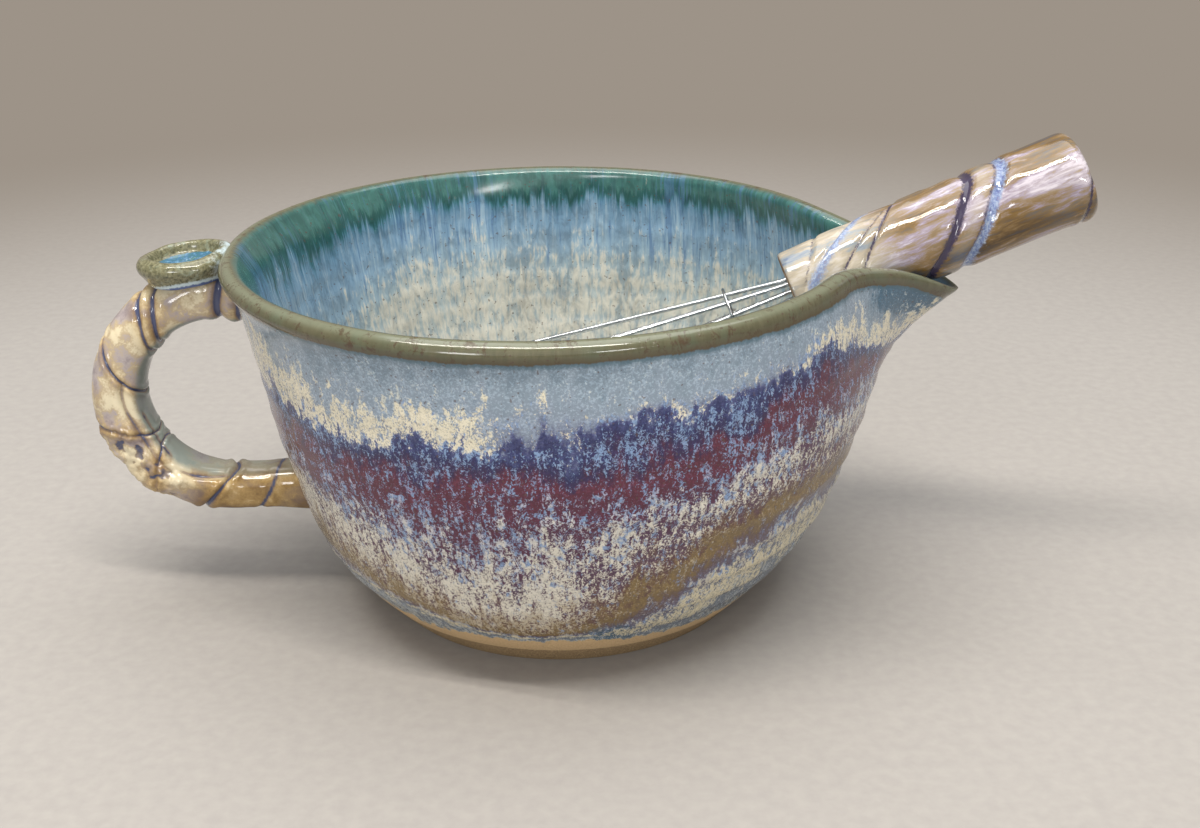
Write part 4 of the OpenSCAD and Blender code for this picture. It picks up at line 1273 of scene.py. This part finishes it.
@dataclass
class RingHandle:
    """The pulled ring handle with the slip seams and rings pressed into it."""

    glaze: PulledGlaze
    # The loop's middle and radius to the centre line, the section's mean radius, and half the
    # handle's thickness at its ends, in mm
    mid_x: float = -109.5
    mid_z: float = 68.6
    loop_r: float = 32.8
    section_r: float = 8.5
    end_half: float = 7.6
    # Each ring's place along the handle on the near side, its slant, depth and width, in mm
    rings: tuple = (
        (-3.0, 0.6, 0.9, 1.3), (-9.5, 0.3, 0.6, 0.9), (24.0, 5.6, 0.8, 0.9), (18.8, 5.4, 0.9, 1.1),
        (42.0, 8.0, 0.75, 0.65), (62.5, 5.5, 0.6, 0.6), (99.8, 5.8, 1.1, 0.8), (78.5, -6.0, 0.5, 0.6),
        (116.0, 4.0, 0.35, 0.8))
    # Each seam's start and end along the handle, its angle round the section and its depth
    seams: tuple = (
        (44.0, 84.0, 112.0, 0.9), (57.0, 80.0, 140.0, 0.6), (84.0, 104.0, 124.0, 0.7), (50.0, 90.0, -70.0, 0.6),
        (6.0, 40.0, -110.0, 0.5))

    def build(self) -> bpy.types.Object:
        """Builds the handle from the CAD node and presses its grooves.

        Returns:
            The dressed handle.
        """
        bm = merged_copy("bowl_handle")
        square_up(bm, lambda v: len(v.link_edges) > 12)
        made = settled("glazed_handle", bm, self.glaze, 3)
        mesh = made.data
        p = points_of(mesh)
        normal = normals_of(mesh)
        s, w = self.unroll(p)
        groove, press, halo = np.zeros(len(p)), np.zeros(len(p)), np.zeros(len(p))
        for place, slant, depth, width in self.rings:
            off = s - (place - slant * np.cos(np.radians(w))) + 0.5 * np.sin(np.radians(w * 3 + place * 9))
            press += depth * ridge(off, width) - 0.45 * depth * ridge(np.abs(off) - 2.6 * width, width * 1.5)
            groove = np.maximum(groove, ridge(off, width * 1.1))
            halo = np.maximum(halo, ridge(off, 3.2))
        for start, end, angle, depth in self.seams:
            inside = band(s, start - 2, start + 3, end - 3, end + 2)
            turn = (w - angle + 7 * np.sin(s / 6.0) + 180) % 360 - 180
            off = np.radians(turn) * self.section_r
            press += inside * depth * (ridge(off, 0.9) - 0.5 * ridge(np.abs(off) - 2.4, 1.5))
            groove = np.maximum(groove, inside * ridge(off, 0.8) * 0.75)
        # Lumps of clay where the slab was knotted, with the glaze thin over them
        knot = band(s, 56, 63, 84, 90) * (1 - smoothstep(np.abs(w - 72), 26, 50))
        lumps = roughen(p * MM, 6 * MM, 3)
        soft = roughen(p * MM + 0.3, 14 * MM, 2)
        press -= knot * (0.4 + 1.5 * lumps)
        groove = np.maximum(groove * (1 - 0.6 * knot), knot * 0.8 * smoothstep(-lumps, 0.22, 0.5))
        press -= 0.45 * soft
        # A soft crest runs along the finger side of the lower run
        off = np.radians((w - 104 + 180) % 360 - 180) * self.section_r
        crest = smoothstep(s, 80, 88) * ridge(off, 2.6)
        press -= 0.6 * crest
        # The root under the thumb rest is full of slip
        root = (1 - smoothstep(s, 2, 12)) * smoothstep(np.cos(np.radians(w)), 0.1, 0.9)
        press -= 1.1 * root
        groove = np.maximum(groove, 0.8 * ridge(s - 8 + 0.25 * w, 2.0) * root)
        # Inside the bowl's wall the handle keeps the CAD's shape
        buried = smoothstep(p[:, 0], -97, -92)
        p = p - normal * (press * (1 - buried))[:, None]
        move_points(mesh, p)
        warm = smoothstep(s, 82, 98) * (1 - smoothstep(np.abs(w - 60), 70, 130)) * 0.85
        warm += 0.3 * smoothstep(soft, 0.0, 0.5)
        warm += 0.6 * halo
        strip = smoothstep(np.abs(w), 118, 140) * (0.8 - 0.3 * smoothstep(s, 70, 110))
        paint(mesh, "groove", groove)
        paint(mesh, "warm", np.clip(warm, 0, 1))
        paint(mesh, "strip", np.clip(strip, 0, 1))
        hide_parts("bowl_handle")
        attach(made, Body.BOWL.value)
        return made

    def unroll(self, p: np.ndarray) -> tuple[np.ndarray, np.ndarray]:
        """Finds each point's place on the handle.

        Args:
            p: points in millimetres.

        Returns:
            The way along the handle's centre line in mm, and the angle round its section in
            degrees: 0 outside, 90 on the near side and 180 on the finger side.
        """
        x, z, r = p[:, 0], p[:, 2], self.loop_r
        # A straight run over the loop's middle and one under it, and a half turn between them
        over, under = (x > self.mid_x) & (z > self.mid_z), (x > self.mid_x) & (z <= self.mid_z)
        turn = np.arctan2(self.mid_x - x, z - self.mid_z)
        reach = np.hypot(x - self.mid_x, z - self.mid_z)
        s = np.select([over, under], [self.mid_x - x, math.pi * r + x - self.mid_x], r * turn)
        out = np.select([over, under], [z - self.mid_z - r, self.mid_z - r - z], reach - r)
        return s, np.degrees(np.arctan2(-p[:, 1], out))


@dataclass
class ThumbRest:
    """The small dish of clay on the handle's shoulder."""

    glaze: PooledGlaze
    grip: RingHandle
    # Its outer radius, its height, the hollow's depth, the edge's thickness and the base's radius in
    # mm, and how far the bowl's side of it is raised, in degrees
    outer_r: float = 15.4
    height: float = 9.5
    dip: float = 3.2
    edge: float = 6.0
    base_r: float = 12.6
    tilt: float = 6.0

    def build(self) -> bpy.types.Object:
        """Spins the dish, presses it uneven and sets it where the CAD node is.

        Returns:
            The dressed thumb rest.
        """
        bead = self.edge / 2
        mid = self.outer_r - bead
        low_h = self.height - bead * 0.6 - self.dip
        hollow = [(0.0, low_h)]
        hollow += [(mid * k, low_h + self.dip * k ** 3) for k in (0.25, 0.45, 0.62, 0.76, 0.86)]
        rim = [
            (mid + bead * math.cos(a), self.height - bead + bead * math.sin(a))
            for a in map(math.radians, (118, 90, 60, 30, 0, -30))]
        stem = [(self.outer_r * 0.93, self.height * 0.45), (self.base_r * 1.04, self.height * 0.2)]
        stem += [(self.base_r, 0.0), (self.base_r * 0.5, 0.0), (0.0, 0.0)]
        bm = drawn(hollow + rim + stem)
        spin_round(bm, (0, 0, 1), 40)
        made = settled("glazed_thumb_rest", bm, self.glaze, 2)
        mesh = made.data
        p = points_of(mesh)
        around = np.arctan2(p[:, 1], p[:, 0])
        r = np.hypot(p[:, 0], p[:, 1])
        lift = smoothstep(r, 6, 14) * (0.35 * np.sin(around * 2 + 0.9) + 0.22 * np.sin(around * 3 + 2.1))
        p[:, 2] += lift * smoothstep(p[:, 2], 1, 7)
        pool = (1 - smoothstep(r, 8.2, 10.8)) * smoothstep(p[:, 2], 2.5, 4.0)
        p += normals_of(mesh) * (roughen(p * MM, 10 * MM, 2) * 0.28)[:, None]
        low, high = (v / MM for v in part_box("thumb_rest"))
        turn = np.array(Matrix.Rotation(math.radians(-self.tilt), 3, "Y"))
        p = p @ turn.T
        p[:, 0] += low.x - p[:, 0].min()
        p[:, 2] += high.z - p[:, 2].max()
        move_points(mesh, p)
        # Glaze gathers where the dish meets the top of the handle and the bowl's rim
        reach = np.hypot(p[:, 0] - self.grip.mid_x, p[:, 2] - self.grip.mid_z)
        above = reach - self.grip.loop_r - self.grip.end_half
        seam = 1 - smoothstep(above + 0.10 * np.abs(p[:, 1]), 0.0, 3.4)
        near_rim = smoothstep(p[:, 0], p[:, 0].max() - 9.5, p[:, 0].max() - 1.5)
        paint(mesh, "seam", np.maximum(seam, near_rim * (0.35 + 0.25 * roughen(p * MM, 3 * MM, 2))))
        paint(mesh, "pool", pool)
        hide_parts("thumb_rest")
        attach(made, Body.BOWL.value)
        return made


@dataclass
class Whisk:
    """The small whisk: its rolled handle, the wires, their tie and the resin that holds them."""

    glaze: WrappedGlaze
    steel: DrawnSteel
    resin: CastResin
    # How far the handle's free end is raised in degrees, and where its wire end is, in mm
    lean: float = 22.3
    mouth_x: float = 74.187
    mouth_z: float = 98.296
    # The handle's length, its radius at each end, the rounding of each end, and its blind bore
    length: float = 97.5
    radius: tuple = (12.9, 14.6)
    mouth_round: float = 1.2
    end_round: float = 4.0
    bore: float = 6.5
    bore_depth: float = 32.0
    # How far in front of the handle the tie is, the radius of its wire, and what is added to a
    # loop's facets so that their smoothed skin is as thick as the wire
    tie_at: float = 20.0
    tie_wire_r: float = 0.48
    wire_skin: float = 0.09

    def place(self) -> Matrix:
        """The turn and shift that lay the whisk, built along +X, in the spout."""
        shift = Matrix.Translation(Vector((self.mouth_x, 0, self.mouth_z)) * MM)
        return shift @ Matrix.Rotation(math.radians(-self.lean), 4, "Y")

    def build(self) -> list[bpy.types.Object]:
        """Builds every piece of the whisk and returns them."""
        loops = sorted(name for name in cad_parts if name.startswith("whisk_loop"))
        return [self.handle(), *map(self.wire, loops), self.tie(), self.plug()]

    def handle(self) -> bpy.types.Object:
        """Spins the handle with its bore and presses the wraps and rings of clay into it.

        Returns:
            The dressed handle.
        """
        (r1, r2), soft, blunt = self.radius, self.mouth_round, self.end_round
        bore = [(self.bore_depth, 0.0), (self.bore_depth, self.bore * 0.6), (self.bore_depth, self.bore)]
        bore += [(x, self.bore) for x in (self.bore_depth * 0.97, 16, 3, 0.4)]
        mouth = [(0.0, self.bore + 0.4), (0.0, 9.0), (0.0, r1 - soft), (0.3, r1 - 0.35), (soft, r1)]
        count = 44
        along = [soft + (self.length - soft - blunt) * i / count for i in range(1, count + 1)]
        side = [(x, r1 + (r2 - r1) * x / self.length) for x in along]
        cap = [
            (self.length - blunt + blunt * math.sin(a), r2 - blunt + blunt * math.cos(a))
            for a in map(math.radians, (22, 45, 68, 90))]
        end = [(self.length, 6.5), (self.length, 3.0), (self.length, 0.0)]
        bm = drawn(bore + mouth + side + cap + end)
        spin_round(bm, (1, 0, 0), 72)
        made = settled("glazed_whisk_handle", bm, self.glaze, 2)
        mesh = made.data
        p = points_of(mesh)
        s, reach = p[:, 0], np.hypot(p[:, 1], p[:, 2])
        w = np.degrees(np.arctan2(-p[:, 1], p[:, 2]))
        skin = smoothstep(reach, 10.5, 12.2)
        push, blue, plum = np.zeros(len(p)), np.zeros(len(p)), np.zeros(len(p))
        c = np.cos(np.radians(w))
        jog = 0.9 * np.sin(np.radians(w * 2 + 40)) + 0.4 * np.sin(np.radians(w * 5))
        # Two rings pressed round the middle, plum and blue, and a seam near the free end
        ring_1, ring_2, rim = s - (51 + 11 * c) - jog, s - (62.5 + 10.5 * c) - jog, s - (96.5 + 6 * c)
        for off, depth, width in ((ring_1, 0.75, 1.7), (ring_2, 0.65, 1.9), (rim, 0.55, 0.9)):
            push -= depth * ridge(off, width) - 0.45 * depth * ridge(np.abs(off) - 2.3 * width, width * 1.4)
        plum = np.maximum(plum, ridge(ring_1, 2.1))
        plum = np.maximum(plum, 0.75 * ridge(rim, 0.9))
        blue = np.maximum(blue, ridge(ring_2, 2.3))
        plum = np.maximum(plum, 0.62 * ridge(ring_2 + 2.1, 0.8))
        # The free edges of the rolled slab wind round the wire end. Each has its start in mm, its
        # slope in mm a degree, its depth, and how much blue and plum glaze lies along it
        turn = (w + 200) % 360
        wraps = (
            (38.0, -0.175, 0.55, 0.0, 0.8), (71.0, -0.24, 0.6, 0.85, 0.0),
            (82.0, -0.235, 0.65, 0.0, 0.75), (12.0, -0.10, 0.35, 0.0, 0.5))
        for start, slope, depth, to_blue, to_plum in wraps:
            at = start + slope * (turn - 200) if start < 60 else start + slope * turn
            off = s - at - 0.7 * np.sin(np.radians(w * 3 + start))
            live = band(s, 2, 6, 44, 60)
            step = 0.9 * smoothstep(off, 0.4, 1.6) * (1 - smoothstep(off, 4, 12))
            push -= live * depth * (ridge(off, 1.0) - step)
            blue = np.maximum(blue, live * to_blue * ridge(off - 2.4, 3.0))
            plum = np.maximum(plum, live * to_plum * ridge(off, 0.75))
        push += 0.30 * roughen(p * MM, 24 * MM, 2) + 0.10 * np.sin(np.radians(w) * 3 + s / 9)
        body = skin * smoothstep(s, 0.2, 2.5)
        radial = np.stack([np.zeros(len(p)), p[:, 1], p[:, 2]], axis=1) / np.maximum(reach, 0.1)[:, None]
        p = p + radial * (np.clip(push, -1.4, 0.45) * body)[:, None]
        dent = smoothstep(s, self.length - 1.5, self.length) * (1 - smoothstep(reach, 6, 12))
        p[:, 0] -= dent * (0.8 + 0.4 * roughen(p * MM, 6 * MM, 2))
        warm = smoothstep(s, 20, 40) * 0.9 + 0.25 * ridge(s - 60, 14)
        warm -= 0.5 * ridge(s - (57 + 11 * c), 4.0)
        bare = (1 - smoothstep(s, 0.05, 0.5)) * smoothstep(reach, 6.0, 6.6)
        paint(mesh, "warm", np.clip(warm, 0, 1))
        paint(mesh, "blue", blue)
        paint(mesh, "plum", plum)
        paint(mesh, "bare", np.maximum(bare, (reach < 6.7) * 1.0))
        paint(mesh, "spun", p * MM)
        move_points(mesh, p)
        mesh.transform(self.place())
        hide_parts("whisk_handle")
        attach(made, Body.WHISK.value)
        return made

    def wire(self, node: str) -> bpy.types.Object:
        """Rounds one loop of wire from its CAD node.

        Args:
            node: the loop's CAD node.

        Returns:
            The round wire.
        """
        bm = merged_copy(node)
        square_up(bm, lambda v: False)
        bmesh.ops.recalc_face_normals(bm, faces=bm.faces)
        bm.normal_update()
        for vert in bm.verts:
            vert.co += vert.normal * self.wire_skin * MM
        made = settled(node.replace("whisk_loop", "steel_loop"), bm, self.steel, 2)
        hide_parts(node)
        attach(made, Body.WHISK.value)
        return made

    def tie(self) -> bpy.types.Object:
        """Puts the thin ring of the tie round the legs.

        Returns:
            The tie.
        """
        low, high = (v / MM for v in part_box("whisk_tie"))
        size = (high - low).y / 2
        bm = bmesh.new()
        across = Matrix.Translation((0, 0, (size - 0.5) * MM)) @ Matrix.Rotation(math.pi / 2, 4, "X")
        bmesh.ops.create_circle(bm, cap_ends=False, segments=12, radius=self.tie_wire_r * MM, matrix=across)
        spin_round(bm, (1, 0, 0), 48)
        made = settled("steel_tie", bm, self.steel, 1)
        made.data.transform(self.place() @ Matrix.Translation((-self.tie_at * MM, 0, 0)))
        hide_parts("whisk_tie")
        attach(made, Body.WHISK.value)
        return made

    def plug(self) -> bpy.types.Object:
        """Gives the CAD node of the resin its finish.

        Returns:
            The CAD node's own object.
        """
        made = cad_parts["whisk_plug"]
        made.data.materials.clear()
        made.data.materials.append(self.resin.material)
        return made


@dataclass
class Studio:
    """The paper floor, the lamps and the camera at the photograph's viewpoint."""

    paper: MattPaper
    # Half the sheet's side, and the place that every lamp points at, in metres
    paper_half: float = 6.0
    aim_at: tuple = (0.0, 0.0, 0.06)
    # Each lamp's name, place in metres, length and width in metres, power in watts and colour
    hung: tuple = (
        ("tube_near", (-0.15, -0.52, 1.45), (1.5, 0.035), 12.0, "#fffaf2"),
        ("tube_far", (-0.15, -0.40, 1.45), (1.5, 0.035), 12.0, "#fffaf2"),
        ("soft_box", (0.1, 0.25, 1.7), (1.8, 1.4), 22.0, "#ffffff"),
        ("front_fill", (-0.35, -1.5, 0.8), (1.8, 1.2), 4.2, "#ffffff"),
        ("window_left", (0.52, -1.22, 0.39), (0.30, 0.12), 2.4, "#ffffff"),
        ("window_right", (-0.60, -1.19, 0.38), (0.30, 0.26), 3.2, "#ffffff"))
    # The camera that was fitted to the photograph: its place in mm, its angles in degrees, and the
    # lens and the frame in the photograph's pixels
    camera_at: tuple = (0.0, -486.70, 256.41)
    pitch: float = 22.231
    yaw: float = 1.470
    roll: float = -0.796
    focal_px: float = 1600.0
    frame_px: float = 1200.0

    def build(self) -> None:
        """Sets the floor, the lamps, the world and the camera."""
        self.floor()
        self.lamps()
        self.camera()
        scene = bpy.context.scene
        scene.view_settings.view_transform = "Standard"

    def floor(self) -> None:
        """Lays the sheet of paper, large enough to fill every view."""
        bm = bmesh.new()
        bmesh.ops.create_grid(bm, x_segments=2, y_segments=2, size=self.paper_half)
        made = settled("paper_floor", bm, self.paper, 0)

    def lamps(self) -> None:
        """Hangs two tubes, a soft box, a low fill and two small windows, in a pale air."""
        for name, at, size, power, tone in self.hung:
            self.lamp(name, at, size, power, tone)
        world = bpy.data.worlds.new("studio_air")
        bpy.context.scene.world = world
        world.use_nodes = True
        tree = world.node_tree
        tree.nodes.clear()
        air = add_node(tree, "ShaderNodeBackground", {"Color": "#e6eaf0", "Strength": 0.48}).outputs[0]
        seen = add_node(tree, "ShaderNodeBackground", {"Color": BACKDROP, "Strength": 1.0}).outputs[0]
        mixed = add_node(tree, "ShaderNodeMixShader", {0: background_ray(tree), 1: air, 2: seen}).outputs[0]
        add_node(tree, "ShaderNodeOutputWorld", {"Surface": mixed})

    def lamp(self, name: str, at: tuple, size: tuple, power: float, tone: str) -> None:
        """Hangs one rectangular lamp that shines at the bowl.

        Args:
            name: the lamp's name.
            at: its place in metres.
            size: its length and width in metres.
            power: its power in watts.
            tone: its colour.
        """
        data = bpy.data.lights.new(name, "AREA")
        data.shape = "RECTANGLE"
        data.size, data.size_y = size
        data.energy = power
        data.color = linear(tone)[:3]
        made = bpy.data.objects.new(name, data)
        bpy.context.scene.collection.objects.link(made)
        aim = Vector(self.aim_at) - Vector(at)
        made.matrix_world = Matrix.Translation(at) @ aim.to_track_quat("-Z", "Y").to_matrix().to_4x4()

    def camera(self) -> None:
        """Sets the camera that was fitted to the photograph."""
        pitch, yaw, roll = (math.radians(a) for a in (self.pitch, self.yaw, self.roll))
        ahead = Vector((math.sin(yaw) * math.cos(pitch), math.cos(yaw) * math.cos(pitch), -math.sin(pitch)))
        level = Vector((math.cos(yaw), -math.sin(yaw), 0.0))
        up = level.cross(ahead)
        right = level * math.cos(roll) + up * math.sin(roll)
        top = up * math.cos(roll) - level * math.sin(roll)
        data = bpy.data.cameras.new("photo_camera")
        data.sensor_width = 36.0
        data.lens = 36.0 * self.focal_px / self.frame_px
        data.clip_start = 0.01
        made = bpy.data.objects.new("photo_camera", data)
        bpy.context.scene.collection.objects.link(made)
        turn = Matrix((right, top, -ahead)).transposed().to_4x4()
        made.matrix_world = Matrix.Translation(Vector(self.camera_at) * MM) @ turn
        bpy.context.scene.camera = made


def main() -> None:
    """Builds the bowl, its handle and thumb rest, the whisk and the studio, and logs each piece."""
    logging.basicConfig(level=logging.INFO, format="%(name)s: %(message)s")
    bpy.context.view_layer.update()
    grip = RingHandle(PulledGlaze())
    pieces = [Bowl(BowlGlaze()).build(), grip.build(), ThumbRest(PooledGlaze(), grip).build()]
    pieces += Whisk(WrappedGlaze(), DrawnSteel(), CastResin()).build()
    for piece in pieces:
        log.info("%s: %d points", piece.name, len(piece.data.vertices))
    Studio(MattPaper()).build()
    bpy.context.view_layer.update()


if __name__ == "__main__":
    main()
